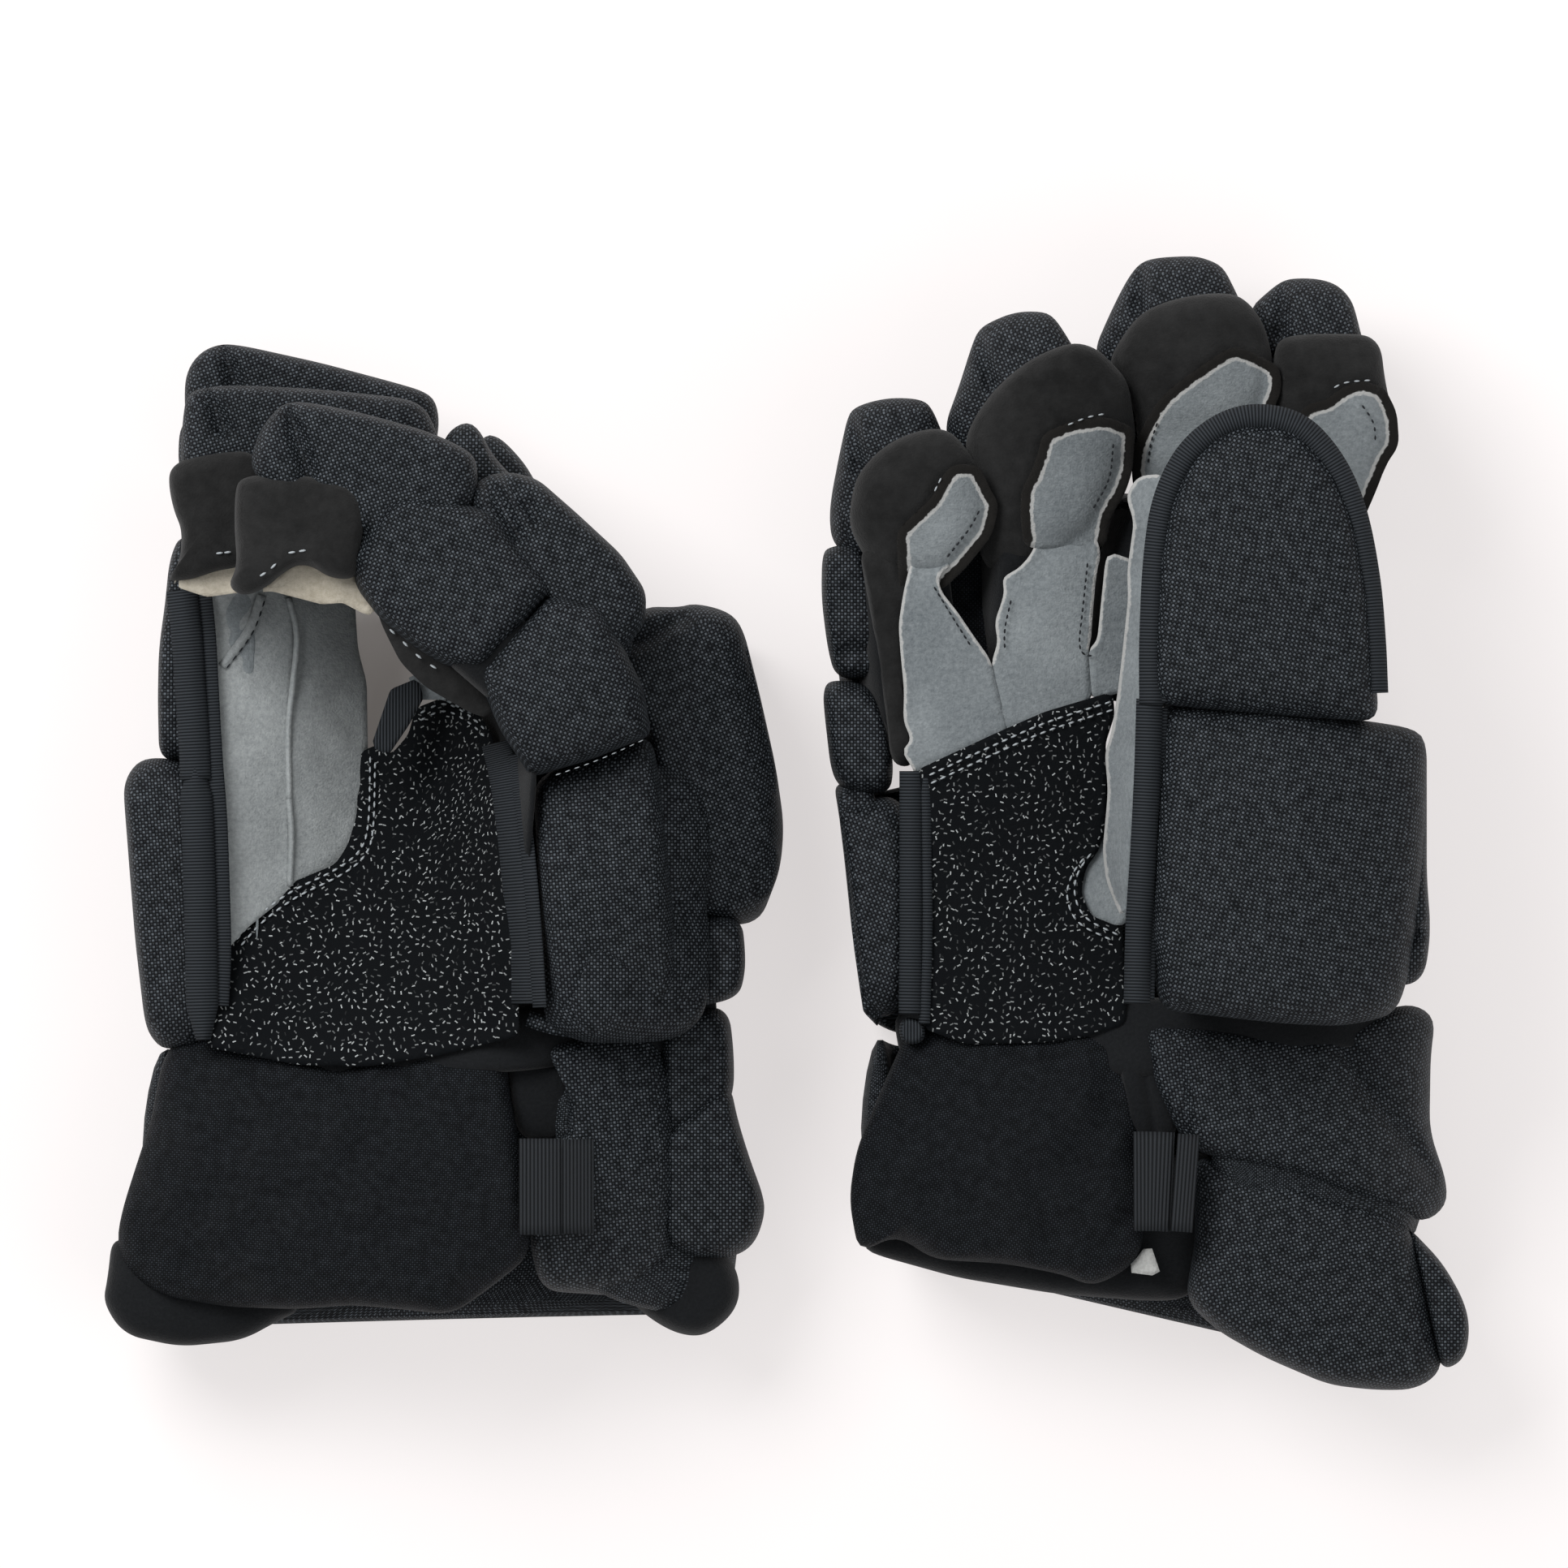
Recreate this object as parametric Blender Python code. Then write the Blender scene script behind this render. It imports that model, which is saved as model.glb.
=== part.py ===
"""A pair of padded ice-hockey gloves lying palm up: the left one folded into a grip, the right one open.

Each glove has four two-length fingers on knuckle and middle hinges, a thumb that folds at its middle, a hand
made of palm panels and back rolls round a hollow, and a cuff that flexes at the wrist. Metres and degrees.
"""
import bpy
import bmesh
from math import exp, radians
from mathutils import Matrix, Vector

# Clearances
SEAM_GAP = 0.0004
HINGE_GAP = 0.0004

# Fingers, from the little finger to the index finger
FINGER_NAMES = ("little", "ring", "middle", "index")
FINGER_WIDTH = 0.0292
FINGER_STALL_DEPTH = 0.029
FINGER_PAD_DEPTH = 0.026
FINGER_SKIN = 0.0035
FINGER_EDGE = 0.006
FINGER_TIP_TAPER = 0.14
FINGER_TIP_REACH = 0.002
PAD_CROWN = 0.0025
BASE_LENGTHS = {"little": 0.062, "ring": 0.066, "middle": 0.066, "index": 0.060}
TIP_LENGTHS = {"little": 0.048, "ring": 0.056, "middle": 0.066, "index": 0.063}

# Thumb
THUMB_WIDTH = 0.058
THUMB_STALL_DEPTH = 0.022
THUMB_PAD_DEPTH = 0.022
THUMB_TIP_LENGTH = 0.088
THUMB_TIP_TAPER = 0.30
THUMB_STALL_SHARE = 0.88
THUMB_STALL_SHORTER = 0.006

# Palm and cuff
PALM_THICKNESS = 0.003
PALM_ROWS = 8
PALM_COLUMNS = 6
OVERLAY_GAP = 0.0006
OVERLAY_THICKNESS = 0.0016
GUSSET_THICKNESS = 0.003
GUSSET_CORNER = 0.012
THUMB_BASE_THICKNESS = 0.020
CUFF_PANEL_THICKNESS = 0.012
CUFF_ROLL_THICKNESS = 0.017
TAB_THICKNESS = 0.0025
ROLL_CHANNEL_DEPTH = 0.004
CHANNEL_SPREAD = 0.05
FLAT_CUT = 0.0005
ROLL_CORNER = 0.030
ROLL_CROWN = 0.003
ROLL_DRAW = 0.02

GLOVES = {
    "right": {
        "knuckles": {"little": (0.045, 0.024, 0.060), "ring": (0.0795, 0.0303, 0.060),
                     "middle": (0.111, 0.0340, 0.060), "index": (0.142, 0.0378, 0.060)},
        "lean": {"little": -8.0, "ring": -1.0, "middle": 7.0, "index": 9.0},
        "finger_roll": 15.0,
        "knuckle_flex": {"little": 9.0, "ring": 9.0, "middle": 5.0, "index": 5.0},
        "middle_flex": {"little": 16.0, "ring": 15.0, "middle": 10.0, "index": 10.0},
        "thumb_fold": (0.150, 0.0354, 0.078),
        "thumb_pitch": 2.0,
        "thumb_roll": 180.0,
        "wrist_edge": ((0.036, -0.069, 0.060), (0.1203, -0.069, 0.060)),
        "palm_fingers": ("little", "ring", "middle"),
        "palm_last_share": 0.0,
        "overlay_rows": 8,
        "gusset_path": ((0.1209, -0.0655), (0.1209, 0.0362), (0.182, 0.0362)),
        "gusset_heights": (0.0545, 0.0935, 0.0775),
        "gusset_front": 0.025,
        "thumb_base_path": ((0.199, 0.026), (0.199, 0.092), (0.174, 0.118), (0.112, 0.113)),
        "thumb_base_span": (-0.064, 0.0285),
        "pads": {
            "knuckle_roll": ((0.100, 0.0005, 0.0125), (0.164, 0.038, 0.025), (0, 0, 6), 3),
            "backhand_roll": ((0.105, -0.0475, 0.0125), (0.176, 0.0448, 0.025), (0, 0, 0), 2),
            "little_side_roll": ((0.0197, -0.026, 0.0430), (0.033, 0.078, 0.018), (0, 100, 0), 2),
        },
        "cuff_panel": ((0.066, -0.1076, 0.0595), (0.092, 0.076, 0.0), (0, 180, 0)),
        "upper_roll_path": ((0.018, 0.048), (0.016, 0.000), (0.196, 0.000), (0.209, 0.060), (0.130, 0.076)),
        "upper_roll_span": (-0.121, -0.0706),
        "upper_roll_shear": (0.0, -0.12),
        "lower_roll_path": ((0.026, 0.046), (0.026, 0.000), (0.202, 0.000), (0.214, 0.056), (0.140, 0.070)),
        "lower_roll_span": (-0.156, -0.1216),
        "lower_roll_shear": (-0.12, -0.20),
        "tab": ((0.1195, -0.112, 0.0739), (0.028, 0.032), (0, -20, 0)),
        "wrist_hinge": (0.100, -0.070, 0.088),
    },
    "left": {
        "knuckles": {"little": (-0.080, 0.027, 0.1039), "ring": (-0.0827, 0.040, 0.0743),
                     "middle": (-0.0853, 0.053, 0.0447), "index": (-0.088, 0.066, 0.0151)},
        "lean": {"little": 0.0, "ring": 0.0, "middle": 0.0, "index": 0.0},
        "finger_roll": -90.0,
        "knuckle_flex": {"little": 48.0, "ring": 48.0, "middle": 48.0, "index": 48.0},
        "middle_flex": {"little": 40.0, "ring": 40.0, "middle": 40.0, "index": 40.0},
        "thumb_fold": (-0.164, 0.0025, 0.0295),
        "thumb_pitch": 0.0,
        "thumb_roll": 90.0,
        "wrist_edge": ((-0.1628, -0.069, 0.060), (-0.084, -0.069, 0.078)),
        "palm_fingers": ("index", "middle", "ring", "little"),
        "palm_last_share": 0.5,
        "overlay_rows": 6,
        "gusset_path": ((-0.1640, 0.0021), (-0.1640, -0.0685)),
        "gusset_heights": (0.020, 0.0590, 0.0590),
        "gusset_front": 0.1,
        "thumb_base_path": ((-0.1675, 0.0600), (-0.205, 0.0600), (-0.209, 0.002)),
        "thumb_base_span": (-0.0699, -0.0045),
        "pads": {
            "knuckle_roll": ((-0.0150, 0.016, 0.0300), (0.059, 0.096, 0.026), (0, -90, 0), 3),
            "backhand_roll": ((-0.096, -0.0165, 0.0125), (0.138, 0.1068, 0.025), (0, 0, 0), 2, 0.62, 0.0410),
            "little_side_roll": ((-0.0485, -0.0245, 0.0790), (0.058, 0.088, 0.024), (0, 221, 0), 2),
        },
        "cuff_panel": ((-0.1465, -0.1107, 0.0640), (0.124, 0.080, 0.0), (0, 167, 0)),
        "upper_roll_path": ((-0.209, 0.032), (-0.200, 0.000), (-0.012, 0.000), (-0.016, 0.046), (-0.070, 0.080)),
        "upper_roll_span": (-0.118, -0.0706),
        "upper_roll_shear": (0.0, 0.0),
        "lower_roll_path": ((-0.211, 0.032), (-0.202, 0.000), (-0.010, 0.000), (-0.014, 0.042), (-0.066, 0.072)),
        "lower_roll_span": (-0.158, -0.1186),
        "lower_roll_shear": (0.0, 0.03),
        "tab": ((-0.0725, -0.110, 0.0816), (0.030, 0.032), (0, 0, 0)),
        "wrist_hinge": (-0.100, -0.070, 0.096),
    },
}

COLOURS = {
    "nylon": ((0.012, 0.014, 0.018), 0.75),
    "suede": ((0.028, 0.025, 0.022), 0.95),
    "palm_suede": ((0.27, 0.29, 0.30), 0.92),
    "overlay": ((0.010, 0.011, 0.012), 0.85),
    "webbing": ((0.008, 0.008, 0.009), 0.70),
}


def clear_scene():
    """Remove what the file opened with."""
    for old in list(bpy.data.objects):
        bpy.data.objects.remove(old)


def new_collection(name):
    """Make a collection under the scene's own."""
    made = bpy.data.collections.new(name)
    bpy.context.scene.collection.children.link(made)
    return made


def finish_material(kind, node):
    """One Principled material for each piece."""
    colour, roughness = COLOURS[kind]
    made = bpy.data.materials.new(node + "_" + kind)
    made.use_nodes = True
    shader = made.node_tree.nodes["Principled BSDF"]
    shader.inputs["Base Color"].default_value = (*colour, 1.0)
    shader.inputs["Roughness"].default_value = roughness
    shader.inputs["Metallic"].default_value = 0.0
    return made


def frame_matrix(place, lean=0.0, pitch=0.0, roll=0.0):
    """A hinge frame: x along the hinge, y out along the digit, z out of the palm side."""
    turn = Matrix.Rotation(radians(-lean), 4, "Z")
    turn = turn @ Matrix.Rotation(radians(pitch), 4, "X")
    turn = turn @ Matrix.Rotation(radians(roll), 4, "Y")
    return Matrix.Translation(Vector(place)) @ turn


def euler_matrix(place, turns):
    """A place with its turns about X, Y and Z in degrees."""
    rx, ry, rz = (radians(value) for value in turns)
    turn = Matrix.Rotation(rz, 4, "Z") @ Matrix.Rotation(rx, 4, "X") @ Matrix.Rotation(ry, 4, "Y")
    return Matrix.Translation(Vector(place)) @ turn


def joint_empty(name, matrix, parent=None):
    """An empty on a joint's axis, its x along the axis."""
    made = bpy.data.objects.new(name, None)
    made.empty_display_size = 0.02
    parts.objects.link(made)
    if parent:
        made.parent = parent
    made.matrix_local = matrix
    return made


def grid_block(cells):
    """A cube from -1 to 1 whose faces are cut into cells across, along and through."""
    bm = bmesh.new()
    bmesh.ops.create_cube(bm, size=2.0)
    for axis, count in enumerate(cells):
        if count < 2:
            continue
        along = [e for e in bm.edges if abs(abs(e.verts[0].co[axis] - e.verts[1].co[axis]) - 2.0) < 1e-6]
        bmesh.ops.subdivide_edges(bm, edges=along, cuts=count - 1, use_grid_fill=True)
    return bm


def face_outwards(bm):
    """Turn a closed mesh whose faces point in."""
    if bm.calc_volume(signed=True) < 0.0:
        bmesh.ops.reverse_faces(bm, faces=bm.faces)
    return bm


def rounded(point, squareness, flat_axis):
    """Move a point of the cube to a cube with rounded edges, except round one face that stays flat.

    flat_axis 1 keeps the end at y = -1 square, and flat_axis 2 keeps the inner face at z = 1 flat.
    """
    flat = point[1] < 0.0 if flat_axis == 1 else point[2] > 0.0
    turning = [axis for axis in range(3) if not (flat and axis == flat_axis)]
    sizes = [abs(point[axis]) for axis in turning]
    norm = sum(size ** squareness for size in sizes) ** (1.0 / squareness)
    scale = max(sizes) / norm if norm > 1e-9 else 1.0
    moved = Vector(point)
    for axis in turning:
        moved[axis] *= scale
    return moved


def soft_pad(size, cells=(4, 4, 3), squareness=5.0, crown=0.0, taper=0.0, channels=(), skew=0.0, draw=0.04):
    """A stuffed pad, y from 0 to its length and z from 0 down to its crowned outer face.

    The sides draw in between the corners, and each channel is a sewn line across the outer face.
    """
    width, length, depth = size
    bm = grid_block(cells)
    for vert in bm.verts:
        x, y, z = rounded(vert.co, squareness, 2)
        along = (y + 1.0) / 2.0
        narrow = 1.0 - taper * (along if skew else along * along)
        waist = 1.0 - draw * (1.0 - y * y)
        outer = max(0.0, -z)
        bulge = crown * outer * (1.0 - x * x) * (1.0 - y * y)
        sewn = sum(exp(-((along - place) / CHANNEL_SPREAD) ** 2) for place in channels)
        pinch = ROLL_CHANNEL_DEPTH * sewn
        out_z = (z - 1.0) / 2.0 * depth - bulge + pinch * outer
        vert.co = Vector((x * width / 2.0 * narrow * waist + skew * along, along * length, out_z))
    return bm


def stall(size, wall_share=0.26, squareness=4.0, taper=0.12):
    """A closed fingertip stall: a rounded block with a pocket let in from its base end."""
    width, length, depth = size
    bm = grid_block((4, 3, 4))
    inner = 1.0 - wall_share
    for vert in bm.verts:
        for axis in (0, 2):
            if abs(abs(vert.co[axis]) - 0.5) < 1e-6:
                vert.co[axis] = inner if vert.co[axis] > 0.0 else -inner
    base_end = [face for face in bm.faces if face.normal.y < -0.9]
    mouth = [face for face in base_end if max(abs(face.calc_center_median()[axis]) for axis in (0, 2)) < 0.5]
    pocket = bmesh.ops.extrude_face_region(bm, geom=mouth)["geom"]
    moved = [item for item in pocket if isinstance(item, bmesh.types.BMVert)]
    bmesh.ops.delete(bm, geom=mouth, context="FACES")
    bmesh.ops.translate(bm, verts=moved, vec=(0.0, 2.0 - 2.4 * wall_share, 0.0))
    for vert in bm.verts:
        x, y, z = rounded(vert.co, squareness, 1)
        along = (y + 1.0) / 2.0
        narrow = 1.0 - taper * along * along
        vert.co = Vector((x * width / 2.0 * narrow, along * length, (z - 1.0) / 2.0 * depth))
    return face_outwards(bm)


def rounded_path(points, radius):
    """The points of a path with each inner corner cut round by three points."""
    corners = [Vector(point) for point in points]
    path = [corners[0]]
    for before, here, after in zip(corners, corners[1:], corners[2:]):
        reach = min(radius, (before - here).length / 2.0, (after - here).length / 2.0)
        start = here + (before - here).normalized() * reach
        end = here + (after - here).normalized() * reach
        path += [start, (start + end) / 4.0 + here / 2.0, end]
    path.append(corners[-1])
    return path


def ribbon(points, radius, wall, span, rows=2, shear=(0.0, 0.0), hinge_x=0.0):
    """A wall of even thickness that follows a path in x and z and runs along y, its outer side left of the path."""
    path = rounded_path(points, radius)
    columns = len(path) - 1
    normals = []
    for index in range(len(path)):
        ahead = path[min(index + 1, columns)] - path[max(index - 1, 0)]
        normals.append(Vector((-ahead.y, ahead.x)).normalized())
    bm = grid_block((columns, rows, 1))
    for vert in bm.verts:
        index = round((vert.co.x + 1.0) / 2.0 * columns)
        outer = vert.co.z > 0.0
        point = path[index] - normals[index] * (0.0 if outer else wall)
        far = (1.0 - vert.co.y) / 2.0
        along = span[1] + far * (span[0] - span[1])
        slant = shear[0] + far * (shear[1] - shear[0])
        vert.co = Vector((point.x, along + slant * (point.x - hinge_x), point.y))
    return face_outwards(bm)


def flatten_base(bm, matrix):
    """Cut a pad flat where it lies on the ground."""
    inverse = matrix.inverted()
    for vert in bm.verts:
        world = matrix @ vert.co
        world.z = max(world.z, FLAT_CUT)
        vert.co = inverse @ world


def add_piece(name, bm, kind, matrix=None, parent=None):
    """Make a named object from a mesh, placed by its matrix or by its parent."""
    bmesh.ops.triangulate(bm, faces=bm.faces)
    mesh = bpy.data.meshes.new(name)
    bm.to_mesh(mesh)
    bm.free()
    mesh.shade_smooth()
    mesh.set_sharp_from_angle(angle=radians(50.0))
    piece = bpy.data.objects.new(name, mesh)
    parts.objects.link(piece)
    mesh.materials.append(finish_material(kind, name))
    if parent:
        piece.parent = parent
    if matrix:
        piece.matrix_local = matrix
    return piece


def base_sleeve(length):
    """The palm side of a finger's base length: a channel open towards the back pad."""
    half = FINGER_WIDTH / 2.0
    drop = -FINGER_STALL_DEPTH
    path = ((-half, drop), (-half, 0.0), (half, 0.0), (half, drop))
    return ribbon(path, FINGER_EDGE, FINGER_SKIN, (HINGE_GAP, length - HINGE_GAP))


def finger(glove, side, name, frames):
    """One finger: a base length on the knuckle hinge and a tip length on the middle hinge."""
    base, tip = BASE_LENGTHS[name], TIP_LENGTHS[name]
    start = frame_matrix(glove["knuckles"][name], glove["lean"][name], 0.0, glove["finger_roll"])
    flex = Matrix.Rotation(radians(glove["knuckle_flex"][name]), 4, "X")
    knuckle = joint_empty(f"{side}_{name}_knuckle", start @ flex)
    bend = Matrix.Translation((0.0, base, 0.0)) @ Matrix.Rotation(radians(glove["middle_flex"][name]), 4, "X")
    middle = joint_empty(f"{side}_{name}_middle", bend, knuckle)
    under = Matrix.Translation((0.0, HINGE_GAP, -FINGER_STALL_DEPTH - SEAM_GAP))
    add_piece(f"{side}_{name}_base_sleeve", base_sleeve(base), "palm_suede", parent=knuckle)
    size = (FINGER_WIDTH, base - 2.0 * HINGE_GAP, FINGER_PAD_DEPTH)
    pad = soft_pad(size, (4, 8, 3), 5.0, PAD_CROWN, 0.0, (0.5,))
    add_piece(f"{side}_{name}_base_pad", pad, "nylon", under, knuckle)
    shell = stall((FINGER_WIDTH, tip, FINGER_STALL_DEPTH))
    add_piece(f"{side}_{name}_tip_stall", shell, "suede", Matrix.Translation((0.0, HINGE_GAP, 0.0)), middle)
    size = (FINGER_WIDTH, tip + FINGER_TIP_REACH, FINGER_PAD_DEPTH)
    pad = soft_pad(size, (4, 4, 3), 4.0, PAD_CROWN, FINGER_TIP_TAPER)
    add_piece(f"{side}_{name}_tip_pad", pad, "nylon", under, middle)
    frames[name] = start


def thumb(glove, side):
    """The thumb's tip length on its fold, and the pad and gusset of its base."""
    fold = joint_empty(f"{side}_thumb_fold",
                       frame_matrix(glove["thumb_fold"], 0.0, glove["thumb_pitch"], glove["thumb_roll"]))
    size = (THUMB_WIDTH * THUMB_STALL_SHARE, THUMB_TIP_LENGTH - THUMB_STALL_SHORTER, THUMB_STALL_DEPTH)
    shell = stall(size, 0.2, 4.0, THUMB_TIP_TAPER)
    add_piece(f"{side}_thumb_tip_stall", shell, "palm_suede", Matrix.Translation((0.0, HINGE_GAP, 0.0)), fold)
    size = (THUMB_WIDTH, THUMB_TIP_LENGTH, THUMB_PAD_DEPTH)
    pad = soft_pad(size, (6, 6, 3), 4.0, ROLL_CROWN, THUMB_TIP_TAPER)
    under = Matrix.Translation((0.0, HINGE_GAP, -THUMB_STALL_DEPTH - SEAM_GAP))
    add_piece(f"{side}_thumb_tip_pad", pad, "nylon", under, fold)
    low, high, front = glove["gusset_heights"]
    path = [(x, -y) for x, y in glove["gusset_path"]]
    wall = ribbon(path, GUSSET_CORNER, -GUSSET_THICKNESS, (low, high))
    for vert in wall.verts:
        if -vert.co.z > glove["gusset_front"]:
            vert.co.y = min(vert.co.y, front)
    upright = Matrix.Rotation(radians(90.0), 4, "X")
    add_piece(f"{side}_thumb_gusset", wall, "palm_suede", upright)
    base = ribbon(glove["thumb_base_path"], ROLL_CORNER, -THUMB_BASE_THICKNESS, glove["thumb_base_span"], 4)
    flatten_base(base, Matrix.Identity(4))
    add_piece(f"{side}_thumb_base_pad", base, "nylon")


def hand_pads(glove, side):
    """The back rolls of the hand and the roll on its little-finger side."""
    for name, (centre, size, turns, rolls, *slant) in glove["pads"].items():
        channels = tuple((index + 1.0) / rolls for index in range(rolls - 1))
        taper, skew = slant or (0.0, 0.0)
        bm = soft_pad(size, (6, 4 * rolls, 3), 5.0, ROLL_CROWN, taper, channels, skew, ROLL_DRAW)
        matrix = euler_matrix(centre, turns) @ Matrix.Translation((0.0, -size[1] / 2.0, size[2] / 2.0))
        flatten_base(bm, matrix)
        add_piece(f"{side}_{name}", bm, "nylon", matrix)


def knuckle_edge(glove, frames):
    """The two ends of the straight edge that the finger bases hang from, just behind every finger."""
    names = glove["palm_fingers"]
    first = frames[names[0]].translation
    line = frames[names[-1]].translation - first
    places, reaches = [], []
    for name in names:
        share = glove["palm_last_share"] if name == names[-1] else 0.5
        for half in (-0.5, share):
            corner = frames[name] @ Vector((half * FINGER_WIDTH, 0.0, 0.0))
            place = (corner - first).dot(line) / line.length_squared
            places.append(place)
            reaches.append(corner.y - (first + line * place).y)
    back = Vector((0.0, min(reaches) + HINGE_GAP, 0.0))
    return first + line * min(places) + back, first + line * max(places) + back


def palm_sheet(glove, frames, thickness, lift, rows):
    """A panel from the wrist edge to the knuckle edge, which may twist on its way."""
    wrist = [Vector(point) for point in glove["wrist_edge"]]
    knuckles = knuckle_edge(glove, frames)
    bm = grid_block((PALM_COLUMNS, rows, 1))
    for vert in bm.verts:
        across = (vert.co.x + 1.0) / 2.0
        along = (vert.co.y + 1.0) / 2.0 * rows / PALM_ROWS
        top = knuckles[0].lerp(knuckles[1], across)
        bottom = wrist[0].lerp(wrist[1], across)
        run = (top - bottom).normalized()
        slope = wrist[1] - wrist[0]
        slope = slope.normalized().lerp((knuckles[1] - knuckles[0]).normalized(), along)
        normal = slope.cross(run).normalized()
        out = lift if vert.co.z > 0.0 else lift - thickness
        vert.co = bottom.lerp(top, along) + normal * out
    return face_outwards(bm)


def palm(glove, side, frames):
    """The suede palm and the reinforcement sewn over it."""
    sheet = palm_sheet(glove, frames, PALM_THICKNESS, 0.0, PALM_ROWS)
    add_piece(f"{side}_palm_panel", sheet, "palm_suede")
    lift = OVERLAY_GAP + OVERLAY_THICKNESS
    sheet = palm_sheet(glove, frames, OVERLAY_THICKNESS, lift, glove["overlay_rows"])
    add_piece(f"{side}_palm_overlay", sheet, "overlay")


def cuff(glove, side):
    """The cuff on its wrist hinge: palm panel, two rolls round the back and an elastic tab."""
    hinge = frame_matrix(glove["wrist_hinge"], 0.0, 0.0, 180.0)
    wrist = joint_empty(f"{side}_wrist", hinge)
    back = hinge.inverted()
    centre, size, turns = glove["cuff_panel"]
    panel_size = (size[0], size[1], CUFF_PANEL_THICKNESS)
    panel = soft_pad(panel_size, (6, 6, 2), 6.0, PAD_CROWN)
    place = euler_matrix(centre, turns) @ Matrix.Translation((0.0, -size[1] / 2.0, CUFF_PANEL_THICKNESS / 2.0))
    add_piece(f"{side}_cuff_palm_panel", panel, "nylon", back @ place, wrist)
    for name in ("upper", "lower"):
        path = glove[f"{name}_roll_path"]
        span = glove[f"{name}_roll_span"]
        shear = glove[f"{name}_roll_shear"]
        roll = ribbon(path, ROLL_CORNER, -CUFF_ROLL_THICKNESS, span, 4, shear, glove["wrist_hinge"][0])
        flatten_base(roll, Matrix.Identity(4))
        add_piece(f"{side}_cuff_{name}_roll", roll, "nylon", back, wrist)
    centre, size, turns = glove["tab"]
    tab = soft_pad((size[0], size[1], TAB_THICKNESS), (2, 4, 1), 8.0)
    place = euler_matrix(centre, turns) @ Matrix.Translation((0.0, -size[1] / 2.0, TAB_THICKNESS / 2.0))
    add_piece(f"{side}_cuff_elastic_tab", tab, "webbing", back @ place, wrist)


def build_glove(side):
    """Build one glove of the pair."""
    glove = GLOVES[side]
    frames = {}
    for name in FINGER_NAMES:
        finger(glove, side, name, frames)
    thumb(glove, side)
    hand_pads(glove, side)
    palm(glove, side, frames)
    cuff(glove, side)


def seat_on_origin():
    """Move the pair so that the origin lies under its middle, on the ground."""
    bpy.context.view_layer.update()
    corners = []
    for piece in parts.objects:
        if piece.type == "MESH":
            corners += [piece.matrix_world @ vert.co for vert in piece.data.vertices]
    low = [min(corner[axis] for corner in corners) for axis in range(3)]
    high = [max(corner[axis] for corner in corners) for axis in range(3)]
    shift = Vector((-(low[0] + high[0]) / 2.0, -(low[1] + high[1]) / 2.0, -low[2]))
    for item in parts.objects:
        if item.parent is None:
            item.matrix_local = Matrix.Translation(shift) @ item.matrix_local
    bpy.context.view_layer.update()


clear_scene()
parts = new_collection("hockey_gloves")
for glove_side in GLOVES:
    build_glove(glove_side)
seat_on_origin()
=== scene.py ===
# %% [markdown]
# # Dressing a pair of hockey gloves
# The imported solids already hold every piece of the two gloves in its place. They are plain, so this
# lesson covers them with padded, woven and stitched pieces that ride on the same moving bodies.

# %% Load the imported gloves
import bpy
import bmesh
import numpy as np
from math import acos, ceil, copysign, cos, exp, pi, radians, sin
from mathutils import Matrix, Vector, noise


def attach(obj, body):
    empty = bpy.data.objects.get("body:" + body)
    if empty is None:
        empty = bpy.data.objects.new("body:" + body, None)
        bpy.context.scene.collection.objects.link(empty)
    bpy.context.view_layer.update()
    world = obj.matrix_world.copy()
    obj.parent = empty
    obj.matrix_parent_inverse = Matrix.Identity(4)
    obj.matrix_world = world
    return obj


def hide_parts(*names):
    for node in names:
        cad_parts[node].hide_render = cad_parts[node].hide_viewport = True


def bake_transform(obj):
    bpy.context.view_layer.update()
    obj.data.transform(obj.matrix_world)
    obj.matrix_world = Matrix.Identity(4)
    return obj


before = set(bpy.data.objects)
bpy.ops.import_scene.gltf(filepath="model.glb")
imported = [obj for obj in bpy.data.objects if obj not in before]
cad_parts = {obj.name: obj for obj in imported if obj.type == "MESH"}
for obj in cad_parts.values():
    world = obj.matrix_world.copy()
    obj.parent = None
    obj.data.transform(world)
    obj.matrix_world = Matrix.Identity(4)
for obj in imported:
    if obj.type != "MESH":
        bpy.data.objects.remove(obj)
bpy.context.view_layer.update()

# %% [markdown]
# ## Stage
# The gloves lie on a pale floor and are looked at from straight above. Big soft lights from two sides
# keep the black cloth readable, and a long lens keeps the plan view free of leaning sides. The plain
# view transform keeps black cloth black and the floor near white.

# %% Camera
VIEW_WIDTH = 0.4898    # what the picture shows at the height of the palms
PALM_HEIGHT = 0.07
VIEW_CENTRE = 0.0013, 0.0123
EYE_HEIGHT = 6.0
SENSOR_WIDTH = 36.0
camera_data = bpy.data.cameras.new("overhead_camera")
camera_data.sensor_width = SENSOR_WIDTH
camera_data.lens = SENSOR_WIDTH * (EYE_HEIGHT - PALM_HEIGHT) / VIEW_WIDTH
camera = bpy.data.objects.new("overhead_camera", camera_data)
camera.location = (*VIEW_CENTRE, EYE_HEIGHT)
bpy.context.scene.collection.objects.link(camera)
bpy.context.scene.camera = camera
bpy.context.scene.view_settings.view_transform = "Standard"
print("lens", round(camera_data.lens), "mm")

# %% Floor
SPECULAR = 0.12    # low, so that black cloth stays black
FLOOR_DROP = 0.0004    # keeps the floor just below the gloves


def link(name, bm, materials=()):
    """Turn a bmesh into a named object of the scene."""
    mesh = bpy.data.meshes.new(name)
    bm.to_mesh(mesh)
    bm.free()
    mesh.shade_smooth()
    made = bpy.data.objects.new(name, mesh)
    bpy.context.scene.collection.objects.link(made)
    for finish in materials:
        mesh.materials.append(finish)
    return made


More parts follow.
